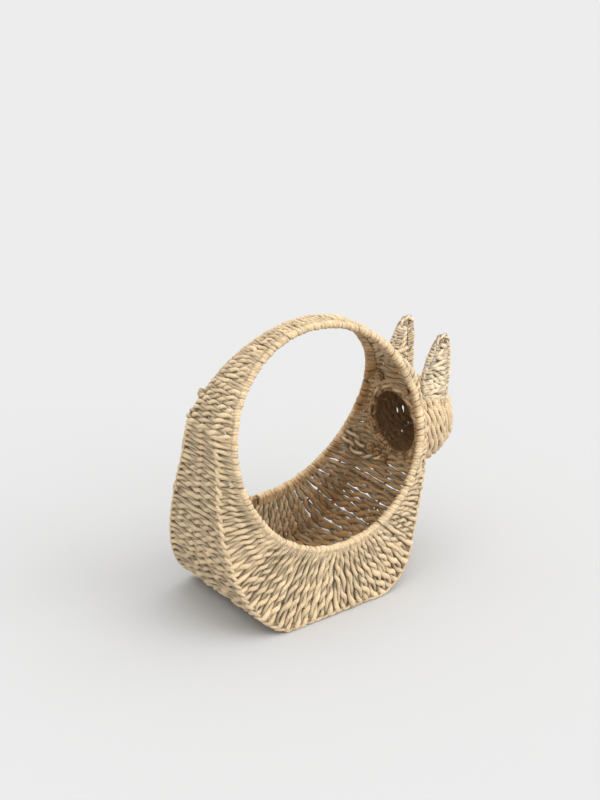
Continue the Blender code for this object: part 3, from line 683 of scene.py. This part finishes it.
def wrapped(row, centres, tangents, hand=0, **shape):
    """A row with a loop round a wire where it starts and where it ends."""
    row = from_wire(row, centres[0], tangents[0], slant=rim_slant(hand), **shape)
    return from_wire(turned_back(row), centres[1], tangents[1], slant=rim_slant(hand), **shape)


def between_wires(axis, outward, trim, lift, lift_reach):
    """An axis cut short at both ends, where the loops round the wires begin, and lifted
    there over the wires, with its ways out and its length."""
    for _ in range(2):
        marks = lengths_along(axis)
        places = np.concatenate([[trim], marks[marks > trim + 1e-5]])
        axis, outward = (read_along(places, marks, table)[::-1] for table in (axis, outward))
    marks = lengths_along(axis)
    inner = np.minimum(marks, marks[-1] - marks)
    axis = axis + unit(outward) * lift * np.exp(-(inner / lift_reach) ** 2)[:, None]
    return axis, outward, lengths_along(axis)[-1]


def even_fit(total, blend, end_press, press, spread):
    """The fit of a row that goes from one wire to another and is the same both ways."""
    blend = min(blend, total * END_SHARE)
    return [(0, end_press, RIM_SPREAD), (blend, press, spread), (total - blend, press, spread),
            (total, end_press, RIM_SPREAD)]


# The faces and the band
# About seventy rows fan out from the rim. Each one runs down the front face, turns over the
# edge wire and its hem of cord, crosses the band and climbs the back face, holding each wire
# on its way. Rows at the chest stop at the ring of the head.
FAN_ROWS = 74
FAN_CROWDING = 0.20
FAN_MARGINS = (0.4, 1.2)
FAN_CHANCE = 0.16
FAN_POINTS = 400
FACE_POINTS = 12
CORNER_POINTS = 6
FACE_WIRE_FROM, FACE_WIRE_TO = 196, 330
HAND_CHANGE = 262
BAND_HALF_TURN = 0.0172
# Deeper painted shade on the rim loops at the chest, and painted light on the inner side of
# rows towards the rump
CHEST_PAINTED_SHADE = 1.5
CHEST_FROM = 345
RUMP_PAINTED_LIGHT = 1.3
RUMP_PAINTED_LIGHT_TO = 296
RUMP_PAINTED_LIGHT_REACH = 40
CORNER = 0.0034
EDGE_CATCH = 0.0018
OVERLAP = 2
OVERLAP_PRESS = (0.86, 0.95)
HEM_TRIM = 6
HEM_POINTS = 800
HEM_LIFT = 0.0007
HEM_SPREAD = 0.0014
HEM_HALF_TURN = 0.0075
HEM_PRESS = 0.92
HEAD_HEIGHT = HOOP_HEIGHT - 0.0260
HEAD_RING_RADIUS = 0.0310
HEAD_RING_X = 0.09992
HEAD_SIDE = 300
RING_REACH = 0.0300
RING_MERGE = 0.0030
RING_WRAP_PRESS = 1.0
RING_WRAP_SPREAD = 0.0010
# Painted shade, in full, on cords that lie inside the basket
INSIDE_PAINTED_SHADE = 2.0
FAN_SLANT = smooth_curve(((150, 0), (184, -0.5), (205, -2), (222, -4), (238, -4.6),
                          (250, -3), (262, -0.5), (275, 2.6), (287, 5.2), (298, 6.4),
                          (315, 4.5), (335, 2), (355, 0.5), (385, 0)))


def band_normal(angle):
    """The way out of the band round the basket, at an edge wire's angle."""
    way = tangent_of(edge_place, angle, 1)
    out = unit(np.array([-way[2], 0, way[0]]))
    return out if out.dot(rays(angle)) > 0 else -out


def panel_path(angle, foot, side):
    """Places from a rim down a face and round the edge wire, with the way out at each."""
    rim, edge = rim_place(angle, side), edge_place(foot, side)
    down, length = unit(edge - rim), np.linalg.norm(edge - rim)
    along = tangent_of(rim_place, angle, side) + tangent_of(edge_place, foot, side)
    out = unit(np.cross(unit(along), down))
    out = out if out[1] * side > 0 else -out
    below, inside = band_normal(foot), np.array([0.0, -side, 0.0])
    reach = np.linspace(min(RIM_MERGE, SHORT_SHARE * length), length - CORNER,
                        FACE_POINTS)[:, None]
    lift = RIM_LIFT * np.exp(-((reach - reach[0]) / LIFT_REACH) ** 2)
    face = rim + down * reach + out * lift
    share = np.linspace(0, 1, CORNER_POINTS + 1)[1:, None]
    peak = edge + 0.5 * CORNER * (down - inside)
    corner = ((1 - share) ** 2 * face[-1] + 2 * share * (1 - share) * peak
              + share ** 2 * (edge + inside * CORNER))
    outs = np.concatenate([np.tile(out, (FACE_POINTS, 1)),
                           (1 - share) * out + share * below])
    return np.concatenate([face, corner]), outs


def nearest(points, place):
    return int(np.argmin(np.linalg.norm(points - place, axis=1)))


def fine(points, outs, step=0.0004):
    marks = lengths_along(points)
    places = np.arange(0, marks[-1] + step / 2, step)
    return read_along(places, marks, points), read_along(places, marks, outs)


def trimmed(row, first, last):
    """Part of a row. An end that meets another piece is a little thinner, inside it."""
    part = {field: row[field][first:last].copy() for field in FIELDS}
    if first:
        part["press"][:OVERLAP] *= OVERLAP_PRESS
    if last is not None:
        part["press"][-OVERLAP:] *= OVERLAP_PRESS[::-1]
    return part


def fan_row(number, angle, foot, rim_pitch, edge_pitch):
    """One row, as its front part, its band parts and its back part."""
    odd, turned = number % 2 == 1, angle < HAND_CHANGE
    wired = FACE_WIRE_FROM < angle < FACE_WIRE_TO
    sides = {side: (*panel_path(angle, foot, side), side if turned else -side)
             for side in (-1, 1)}
    edge = edge_place(foot, 1)
    above_head = edge[2] - HEAD_HEIGHT
    mid_fit, low_fit = fitted(0.5 * (rim_pitch + edge_pitch)), fitted(edge_pitch)

    def down_to_edge(side, points):
        """The stretches from the rim to the edge wire, and their fit."""
        marks = lengths_along(points)
        at_edge = marks[nearest(points, edge_place(foot, side))]
        middle = 0.5 * (rim_place(angle, side) + edge_place(foot, side))
        at_wire = marks[nearest(points, middle)]
        hand = sides[side][2]
        stretches = [(at_wire, True, HALF_TURN, hand)] if wired else []
        stretches.append((at_edge, True, HALF_TURN, hand))
        blend = min(BLEND, SHORT_SHARE * at_edge)
        fit = [(0, RIM_PRESS, RIM_SPREAD), (blend, *fitted(rim_pitch)),
               (at_wire, *mid_fit), (at_edge, *low_fit)]
        return stretches, fit, marks[-1]

    # The rim loop gets painted shade, deeper on the chest side
    def started(row, side):
        return from_wire(row, rim_place(angle, side), tangent_of(rim_place, angle, side),
                         slant=rim_slant(sides[side][2]),
                         toasted=CHEST_PAINTED_SHADE if angle > CHEST_FROM else RIM_PAINTED_SHADE)

    parts = {"front": None, "band": [], "back": None}
    if angle > HEAD_SIDE and abs(above_head) < RING_REACH:
        half = math.sqrt(HEAD_RING_RADIUS ** 2 - above_head ** 2)
        loop = WRAP_POINTS + 1
        for side, label in ((-1, "front"), (1, "back")):
            ring = np.array([HEAD_RING_X, side * half, edge[2]])
            spoke = unit(ring - (HEAD_RING_X, 0, HEAD_HEIGHT))
            points, outs, _ = sides[side]
            near_ring = ring + spoke * RING_MERGE
            points, outs = fine(np.concatenate([points, near_ring[None]]),
                                np.concatenate([outs, [(1.0, 0, 0)]]))
            stretches, fit, total = down_to_edge(side, points)
            stretches.append((total, False, BAND_HALF_TURN, 1))
            fit += [(total, *low_fit)]
            row = twined(points, outs, stretches, fit, odd, catch_spread=EDGE_CATCH,
                         rim_ended=False)
            around = np.cross(spoke, (1.0, 0, 0))
            # The loop round the ring gets full painted shade
            row = turned_back(from_wire(turned_back(row), ring, around,
                                        press=RING_WRAP_PRESS, spread=RING_WRAP_SPREAD,
                                        toasted=INSIDE_PAINTED_SHADE))
            row = started(row, side)
            cut = nearest(row["points"][loop:], edge_place(foot, side)) + loop
            parts[label] = trimmed(row, 0, cut + OVERLAP)
            parts["band"].append(trimmed(row, cut, None))
        return parts

    front, front_outs, _ = sides[-1]
    back, back_outs, _ = sides[1]
    points, outs = fine(np.concatenate([front, back[::-1]]),
                        np.concatenate([front_outs, back_outs[::-1]]))
    stretches, fit, total = down_to_edge(-1, points)
    way_back, fit_back, _ = down_to_edge(1, points[::-1])
    stretches.append((total / 2, True, BAND_HALF_TURN, 1))
    stretches.append((total - way_back[-1][0], True, BAND_HALF_TURN, 1))
    if wired:
        stretches.append((total - way_back[0][0], True, HALF_TURN, sides[1][2]))
    stretches.append((total, False, HALF_TURN, sides[1][2]))
    fit += [(total - place, thick, wide) for place, thick, wide in fit_back[::-1]]
    row = twined(points, outs, stretches, fit, odd, catch_spread=EDGE_CATCH)
    # Painted light on the inner side of rows towards the rump
    row["toast"] -= RUMP_PAINTED_LIGHT * np.clip((RUMP_PAINTED_LIGHT_TO - angle) / RUMP_PAINTED_LIGHT_REACH, 0, 1)
    row = turned_back(started(turned_back(started(row, -1)), 1))
    first = nearest(row["points"], edge_place(foot, -1))
    last = nearest(row["points"], edge_place(foot, 1))
    parts["front"] = trimmed(row, 0, first + OVERLAP)
    parts["band"] = [trimmed(row, first, last + OVERLAP)]
    parts["back"] = trimmed(row, last, None)
    return parts


def fan():
    """All rows of the fan, sorted by the piece that they belong to."""
    first, last = LEFT_SHOULDER + FAN_MARGINS[0], RIGHT_SHOULDER - FAN_MARGINS[1]
    angles = np.linspace(first, last, FAN_POINTS)
    crowd = np.linalg.norm(np.gradient(edge_place(angles + FAN_SLANT(angles), 1), axis=0),
                           axis=1) ** FAN_CROWDING
    crowd = np.concatenate([[0], np.cumsum(0.5 * (crowd[1:] + crowd[:-1]))])
    angles = np.interp(np.linspace(0, crowd[-1], FAN_ROWS), crowd, angles)
    angles[1:-1] += chance.normal(0, FAN_CHANCE, FAN_ROWS - 2)
    feet = np.clip(angles + FAN_SLANT(angles), LEFT_SHOULDER, RIGHT_SHOULDER)
    pitches = [np.linalg.norm(np.gradient(places, axis=0), axis=1)
               for places in (rim_place(angles, 1), edge_place(feet, 1))]
    panels = {"front": [], "band": [], "back": []}
    for number, row in enumerate(zip(angles, feet, *pitches)):
        parts = fan_row(number, *row)
        panels["front"].append(parts["front"])
        panels["back"].append(parts["back"])
        panels["band"].extend(parts["band"])
    return panels


def hem_row(side):
    """A pair of cords led along an edge wire, among the rows that turn over it."""
    angles = np.linspace(LEFT_SHOULDER + HEM_TRIM, RIGHT_SHOULDER - HEM_TRIM, HEM_POINTS)
    outs = unit([band_normal(angle) + (0, side, 0) for angle in angles])
    path = edge_place(angles, side) + outs * HEM_LIFT
    marks = lengths_along(path)
    places = np.arange(0, marks[-1], ROW_STEP)
    points, outs = read_along(places, marks, path), read_along(places, marks, outs)
    return plain_row(points, across=unit(np.cross(np.gradient(points, axis=0), outs)),
                     outward=outs, spread=HEM_SPREAD, turn=math.pi * places / HEM_HALF_TURN,
                     press=HEM_PRESS)


PANELS = fan()
for label, panel, node in (("front_face_cords", "front", "front_weave"),
                           ("back_face_cords", "back", "back_weave"),
                           ("side_band_cords", "band", "side_weave")):
    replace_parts(lay_cords(label, PANELS[panel], seed=11), node)
for label, side in (("front_hem_cords", -1), ("back_hem_cords", 1)):
    lay_cords(label, [hem_row(side)], seed=12)


# The cross wires
# The straight spreaders inside the band are bound with a pair of cords of their own.
BINDING_HALF_TURN = 0.0062
BINDING_INSET = 0.001
BINDING_POINTS = 60
BINDING_SPREAD = 0.0010
BINDING_PRESS = 0.72


def binding_row(low, high):
    """A pair of cords wound along a straight wire that lies across the basket."""
    points = np.tile((low + high) / 2, (BINDING_POINTS, 1))
    y = np.linspace(low[1] + BINDING_INSET, high[1] - BINDING_INSET, BINDING_POINTS)
    points[:, 1] = y
    # The binding gets full painted shade
    return plain_row(points, across=(1, 0, 0), outward=(0, 0, 1), spread=BINDING_SPREAD,
                     turn=math.pi * (y - y[0]) / BINDING_HALF_TURN, press=BINDING_PRESS,
                     toast=INSIDE_PAINTED_SHADE)


for place in ("left", "base_left", "base_right", "right"):
    binding = binding_row(*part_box(f"{place}_cross_wire"))
    lay_cords(f"{place}_cross_binding", [binding], seed=71)


# The handle
# The band over the top is laid the same way from rim to rim, over the arched wires at the
# shoulders, and it narrows to a thumb's width at the crown.
HANDLE_PITCH = 2.8
HANDLE_HALF_TURN = 0.0115
# Painted light that lifts the painted shade on the handle's inner side
HANDLE_PAINTED_LIGHT = 0.4
HANDLE_PRESS = 0.94
HANDLE_SPREAD = 0.0014
HANDLE_MARGINS = (0.8, 1.0)
HANDLE_CHANCE = 0.12
SHORT_SLACK = 0.6
HANDLE_CATCH = 0.0018
ARCH_POINTS = 31
ARCH_POWERS = ((2.4, 0), (2.0, 2), (1.5, 10))
CROWN_BULGE = 0.0010
SHOULDER_BULGE_SHARE = 1.118
RUMP_SWELL = 1.3
CHEST_SWELL = 2.6


def shoulder_bulge(angle):
    return SHOULDER_BULGE_SHARE * float((edge_place(angle, 1) - rim_place(angle, 1)).dot(
        rays(angle)))


RUMP_BULGE, CHEST_BULGE = shoulder_bulge(LEFT_SHOULDER), shoulder_bulge(RIGHT_SHOULDER)


def handle_arch(angle, shares):
    """Places across the handle's band; shares run from -1 at the front rim to 1."""
    rim = rim_place(angle, 1)
    crown = HOOP_HEIGHT + HOOP_HALF_HEIGHT
    drop = (crown - rim[2]) / (crown - rim_place(LEFT_SHOULDER, 1)[2])
    drop = min(max(float(drop), 0), 1)
    full, swell = (RUMP_BULGE, RUMP_SWELL) if rim[0] < 0 else (CHEST_BULGE, CHEST_SWELL)
    bulge = CROWN_BULGE + (full - CROWN_BULGE) * drop ** swell
    power = sum(size * drop ** order for size, order in ARCH_POWERS)
    rise = bulge * (1 - np.abs(shares) ** power)
    flat = np.stack([np.full_like(shares, rim[0]), shares * rim[1],
                     np.full_like(shares, rim[2])], -1)
    return flat + rays(angle) * rise[:, None]


def handle_rows():
    """The rows of the handle, each from the front rim to the back one."""
    rows = []
    first = RIGHT_SHOULDER - 360 + HANDLE_MARGINS[0]
    last = LEFT_SHOULDER - HANDLE_MARGINS[1]
    for angle in np.linspace(first, last, int((last - first) / HANDLE_PITCH)):
        angle = min(angle + chance.normal(0, HANDLE_CHANCE), last)
        axis = handle_arch(angle, np.linspace(-1, 1, ARCH_POINTS))
        ray = rays(angle)
        top = axis[ARCH_POINTS // 2] - (0, 0, HOOP_HEIGHT)
        reach = float(top.dot(ray)) / HOOP_HALF_HEIGHT
        way = unit(np.gradient(axis, axis=0))
        out = unit(np.cross(way, np.array([-ray[2], 0, ray[0]])))
        out *= np.sign(out.dot(ray)).reshape(-1, 1)
        trim = min(RIM_MERGE, lengths_along(axis)[-1] * END_SHARE)
        axis, out, total = between_wires(axis, out, trim, RIM_LIFT, LIFT_REACH)
        stretches = [(total / 2, True, HANDLE_HALF_TURN, 1),
                     (total, False, HANDLE_HALF_TURN, 1)]
        fit = even_fit(total, BLEND, RIM_PRESS, HANDLE_PRESS * reach, HANDLE_SPREAD * reach)
        row = twined(axis, out, stretches, fit, odd=chance.random() < 0.5,
                     slack=SHORT_SLACK, catch_spread=HANDLE_CATCH)
        # Painted light: less painted shade on the handle's inner side
        row["toast"] -= HANDLE_PAINTED_LIGHT
        rows.append(wrapped(row, [rim_place(angle, side) for side in (-1, 1)],
                            [tangent_of(rim_place, angle, side) for side in (-1, 1)], 1))
    return rows


handle = lay_cords("handle_cords", handle_rows(), seed=31)
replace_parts(handle, "handle_weave")


# The head
# One pair of cords coils round and round from the nose to the ring at the chest, over four
# rib wires, and makes a cup that is open to the inside of the basket. Another pair is wound
# close round the ring.
HEAD_RADIUS = 0.0390
HEAD_CENTRE_X = HEAD_RING_X + 0.0120
# Painted shade inside the head's cup
CUP_PAINTED_SHADE_TINT = (0.36, 0.24, 0.135)
HEAD_HALF_LENGTH = 0.0420
COIL_PITCH = 0.0055
COIL_HALF_TURN = 0.015
COIL_SPREAD = 0.0015
COIL_PRESS = 1.30
RING_HALF_TURN = 0.0034
RING_SPREAD = 0.0019
RING_PRESS = 0.80
RING_POINTS = 520
SKIN_DEPTH = 0.0010
COIL_FLATNESS = 0.9
COIL_SLACK = 0.40
COIL_UNEVENNESS = 1.3
FIRST_RIB = math.radians(45)
RIBS = 4
COIL_START = 0.03
PROFILE_POINTS, NECK_POINTS = 80, 20
LEAST_MOVE, LEAST_RADIUS = 0.0008, 0.0015
LEAST_HELD_RADIUS = 0.008
MOUTH_TURN = 7
# Painted shade on the last turns of the coil, at the cup's mouth
MOUTH_PAINTED_SHADE = 1.8


def head_coil():
    """One row that winds from the nose to the ring, along the head's profile."""
    skin = PLY_RADIUS + SKIN_DEPTH
    turn = np.linspace(COIL_START, math.pi / 2, PROFILE_POINTS)
    x = HEAD_CENTRE_X + (HEAD_HALF_LENGTH - skin) * np.cos(turn)
    radius = (HEAD_RADIUS - skin) * np.sin(turn)
    share = np.linspace(0, 1, NECK_POINTS)[1:]
    x = np.concatenate([x, HEAD_CENTRE_X + (HEAD_RING_X - HEAD_CENTRE_X) * share])
    radius = np.concatenate([radius, (HEAD_RADIUS - skin)
                             + (HEAD_RING_RADIUS - HEAD_RADIUS + skin) * share ** 2])
    marks = np.concatenate([[0], np.cumsum(np.hypot(np.diff(x), np.diff(radius)))])
    places, turns = [], []
    at, swing = 0.0, 0.0
    while at < marks[-1] + COIL_PITCH:
        r = float(np.interp(at, marks, radius))
        places.append(min(at, marks[-1]))
        turns.append(swing)
        move = min(ROW_STEP, max(r, LEAST_MOVE) * 0.5)
        angle_step = move / max(r, LEAST_RADIUS)
        swing += angle_step
        at += COIL_PITCH * angle_step / math.tau
    places, turns = np.array(places), np.array(turns)
    px, pr = np.interp(places, marks, x), np.interp(places, marks, radius)
    spoke = np.stack([np.zeros_like(turns), np.cos(turns), np.sin(turns)], -1)
    points = spoke * pr[:, None]
    points[:, 0] = px
    points[:, 2] += HEAD_HEIGHT
    slope = unit(np.stack([np.gradient(x, marks), np.gradient(radius, marks)], -1))
    slope = read_along(places, marks, slope)
    across = spoke * slope[:, 1:2]
    across[:, 0] = slope[:, 0]
    outward = -spoke * slope[:, 0:1]
    outward[:, 0] = slope[:, 1]
    # Every quarter round a rib is held: whole half turns from rib to rib
    run = lengths_along(points)
    rib_turns = FIRST_RIB + np.arange(0, turns[-1], math.tau / RIBS)
    rib_runs = np.interp(rib_turns, turns, run)
    halves = np.maximum(np.round(np.diff(rib_runs) / COIL_HALF_TURN), 1)
    phases = 0.5 + np.concatenate([[0], np.cumsum(halves)])
    near = np.exp(-((run[:, None] - rib_runs) / CATCH_REACH) ** 2).max(axis=1)
    near = near * (pr > LEAST_HELD_RADIUS)
    sway = np.interp(run, rib_runs, chance.normal(0, COIL_SLACK, len(rib_runs)))
    # The last turns, at the mouth of the cup, get painted shade
    return plain_row(points, across=across, outward=outward * COIL_FLATNESS,
                     spread=COIL_SPREAD + (CATCH_SPREAD - COIL_SPREAD) * near,
                     turn=np.interp(run, rib_runs, phases) * math.pi + sway,
                     press=COIL_PRESS,
                     toast=np.where(turns > turns[-1] - MOUTH_TURN, MOUTH_PAINTED_SHADE, 0.0))


def ring_binding():
    """A pair of cords wound close round the ring, where the head meets the chest."""
    turn = np.linspace(0, math.tau, RING_POINTS)
    spoke = np.stack([np.zeros_like(turn), np.cos(turn), np.sin(turn)], -1)
    # The ring's binding gets full painted shade
    return plain_row(spoke * HEAD_RING_RADIUS + (HEAD_RING_X, 0, HEAD_HEIGHT),
                     across=(1, 0, 0), outward=spoke, spread=RING_SPREAD,
                     turn=math.pi * turn * HEAD_RING_RADIUS / RING_HALF_TURN,
                     press=RING_PRESS, toast=INSIDE_PAINTED_SHADE)


# The head's cord is the same paper, with a deeper painted shade for the inside of the cup
HEAD_CORD = cord_finish("head_paper_cord", CORD_LIGHT, CORD_DEEP, CUP_PAINTED_SHADE_TINT)
head = lay_cords("head_cords", [head_coil()], seed=41, unevenness=COIL_UNEVENNESS,
                 finish=HEAD_CORD)
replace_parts(head, "head_weave")
lay_cords("ring_binding", [ring_binding()], seed=42)


# The ears
# Each ear is a bent loop with a wire up its middle. Rows cross the loop and catch the middle
# wire, and they get shorter towards the tip.
EAR_WIDTH = 0.0340
EAR_HEIGHT = 0.0580
EAR_FRONT_X = HEAD_CENTRE_X - 0.0060
EAR_Y = 0.0250
EAR_PITCH = 0.0050
EAR_HALF_TURN = 0.0095
EAR_WRAP_RADIUS = 0.0014
EAR_WRAP_PRESS = 0.85
EAR_PRESS = 1.06
EAR_SPREAD = 0.0015
EAR_STEP = 0.0016
EAR_MERGE, EAR_MERGE_SHARE = 0.0034, 0.35
EAR_LIFT, EAR_LIFT_REACH = 0.0011, 0.0032
EAR_BLEND = 0.0035
EAR_SAG = 0.0012
EAR_POINTS = 12
HELD_LENGTH = 0.014
EAR_FOOT, EAR_TIP = 0.002, 0.0042
EDGING_FOOT = 0.003
EDGING_SPREAD = 0.0012
EDGING_TWIST = 480
EDGING_PRESS = 0.80
# Painted light: the ears' cord is painted paler than the rest, for the brighter light that
# falls on the ears
LIT_EAR_LIGHT = (0.97, 0.82, 0.59)
LIT_EAR_DEEP = (0.83, 0.65, 0.435)
FAR_EAR_SHIFT = 0.0015
EAR_LOOP = (
    (0.21, -0.36), (0.13, 0.10), (0.11, 0.32), (0.15, 0.46), (0.23, 0.59), (0.33, 0.71),
    (0.43, 0.82), (0.53, 0.92), (0.68, 0.970), (0.84, 0.93), (0.885, 0.76), (0.89, 0.50),
    (0.89, 0.29), (0.86, 0.10), (0.78, -0.36))

# Paler cord as painted light, with no painted shade on the inner side
EAR_CORD = cord_finish("lit_ear_paper_cord", LIT_EAR_LIGHT, LIT_EAR_DEEP, (1, 1, 1))


def ear_edging(loop, side):
    """A pair of cords twined along the loop from one foot of the ear to the other."""
    path = bent(np.stack([loop[:, 0], np.full(len(loop), side * EAR_Y), loop[:, 1]], -1))
    path = path[path[:, 2] > HOOP_HEIGHT - EDGING_FOOT]
    marks = lengths_along(path)
    points = read_along(np.arange(0, marks[-1], ROW_STEP), marks, path)
    out = (0.0, side, 0.0)
    return plain_row(points, across=unit(np.cross(np.gradient(points, axis=0), out)),
                     outward=out, spread=EDGING_SPREAD,
                     turn=lengths_along(points) * EDGING_TWIST, press=EDGING_PRESS)


def ear_rows(side):
    """The rows of an ear, from its foot up, and the pair of cords along its loop."""
    shift = FAR_EAR_SHIFT if side > 0 else 0
    loop = np.array([(EAR_FRONT_X + shift + x * EAR_WIDTH, HOOP_HEIGHT + z * EAR_HEIGHT)
                     for x, z in EAR_LOOP])
    crown = int(np.argmax(loop[:, 1]))
    left, right = loop[:crown + 1], loop[crown:][::-1]
    rows = []
    for level in np.arange(HOOP_HEIGHT - EAR_FOOT, loop[crown, 1] - EAR_TIP, EAR_PITCH):
        ends, ways, nudge = [], [], 0.002
        for wire in (left, right):
            x = float(np.interp(level, wire[:, 1], wire[:, 0]))
            above = float(np.interp(level + nudge, wire[:, 1], wire[:, 0]))
            ends.append(np.array([x, side * EAR_Y, level]))
            ways.append(unit(np.array([above - x, 0, nudge])))
        share = np.linspace(0, 1, EAR_POINTS)[:, None]
        sag = np.sin(share * math.pi) * (0, 0, -EAR_SAG)
        axis = ends[0] + (ends[1] - ends[0]) * share + sag
        length = lengths_along(axis)[-1]
        axis, outward, total = between_wires(
            axis, np.tile((0.0, side, 0.0), (EAR_POINTS, 1)),
            min(EAR_MERGE, length * EAR_MERGE_SHARE), EAR_LIFT, EAR_LIFT_REACH)
        hand = 1 if chance.random() < 0.5 else -1
        stretches = [(total, False, EAR_HALF_TURN, hand)]
        if length > HELD_LENGTH:
            stretches.insert(0, (total / 2, True, EAR_HALF_TURN, hand))
        thick = EAR_PRESS * chance.normal(1, PRESS_CHANCE)
        fit = even_fit(total, EAR_BLEND, thick, thick, EAR_SPREAD)
        row = twined(axis, outward, stretches, fit, step=EAR_STEP, slack=SHORT_SLACK)
        rows.append(wrapped(row, ends, ways, press=EAR_WRAP_PRESS, radius=EAR_WRAP_RADIUS))
    rows.append(ear_edging(loop, side))
    return rows


for label, side, seed in (("front", -1, 51), ("back", 1, 52)):
    cords = lay_cords(f"{label}_ear_cords", ear_rows(side), seed=seed, finish=EAR_CORD)
    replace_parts(cords, f"{label}_ear_weave")


# The knots and loose ends
# The head is tied to the frame with a knot of cord on each side, inside the chest. Ends of
# cord are knotted off at the rump, at the shoulder and below the ring, and two pairs of
# ends are led over the inside of the back face to the knots there.
KNOT_RADIUS = 0.0032
KNOT_POINTS = 90
SHOULDER_KNOT = 153.0
SHOULDER_KNOT_LIFT = 0.0038
# Painted shade: none on the knots outside, full on the knots inside the chest
OUTER_PAINTED_SHADE, INNER_PAINTED_SHADE = -3.0, 1.0
# Each knot is a place and a size
OUTER_KNOTS = ((-0.1100, 0.0295, 0.1130, 0.0030),)
INNER_KNOTS = ((0.0940, 0.0150, 0.0900, 0.0040), (0.0930, 0.0060, 0.0880, 0.0036),
               (0.0915, 0.0220, 0.0930, 0.0036))
# Each place is an angle and a share of the way from the rim to the edge wire
LED_ENDS = ((332, 0.02), (330, 0.4), (327, 0.9))
LED_LIFT = 0.0042
LED_GAP = 4.5
LED_FACING = (-0.5, -1.0, 0.3)
LED_SPREAD = 0.0016
LED_TWIST = 210
LED_PRESS = 0.95
# Painted shade on the led ends, inside the back face
LED_PAINTED_SHADE = 0.6


def knot_row(centre, size, toast):
    """One cord in a small knot: a loop that passes through itself."""
    turn = np.linspace(0, math.tau * 2, KNOT_POINTS)
    wide = size * (0.62 + 0.38 * np.cos(1.5 * turn))
    points = np.stack([centre[0] + 0.5 * size * np.sin(1.5 * turn),
                       centre[1] + wide * np.cos(turn), centre[2] + wide * np.sin(turn)], -1)
    # The knot carries the painted shade that it is given
    return plain_row(points, across=(0, 1, 0), outward=(1, 0, 0), press=1.0, toast=toast)


for label in ("front", "back"):
    low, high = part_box(f"{label}_head_knot")
    centre = (low + high) / 2
    # The tie inside the chest gets full painted shade
    tie = knot_row(centre, KNOT_RADIUS, INNER_PAINTED_SHADE)
    knot = lay_cords(f"{label}_head_tie", [tie], seed=61, plies=1)
    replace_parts(knot, f"{label}_head_knot")


def led_row(shift, last):
    """A pair of ends, led over the inside of the back face to a knot."""
    places = []
    for angle, share in LED_ENDS:
        rim, edge = rim_place(angle - shift, 1), edge_place(angle - shift, 1)
        face = unit(np.cross(tangent_of(rim_place, angle - shift, 1), edge - rim))
        face = face if face[1] > 0 else -face
        places.append(rim + (edge - rim) * share - face * LED_LIFT)
    points = bent(places + [np.array(last)])
    out = unit(LED_FACING)
    return plain_row(points, across=unit(np.cross(np.gradient(points, axis=0), out)),
                     outward=out, spread=LED_SPREAD, turn=lengths_along(points) * LED_TWIST,
                     press=LED_PRESS, toast=LED_PAINTED_SHADE)


shoulder = rim_place(SHOULDER_KNOT, 1) + rays(SHOULDER_KNOT) * SHOULDER_KNOT_LIFT
# Knots outside get no painted shade, knots inside the chest get it in full
knots = [knot_row(shoulder, KNOT_RADIUS, OUTER_PAINTED_SHADE)]
for places, toast in ((OUTER_KNOTS, OUTER_PAINTED_SHADE), (INNER_KNOTS, INNER_PAINTED_SHADE)):
    knots += [knot_row(place[:3], place[3], toast) for place in places]
lay_cords("knotted_ends", knots, seed=62, plies=1)
led = [led_row(0, INNER_KNOTS[2][:3]), led_row(LED_GAP, INNER_KNOTS[1][:3])]
lay_cords("led_ends", led, seed=63)
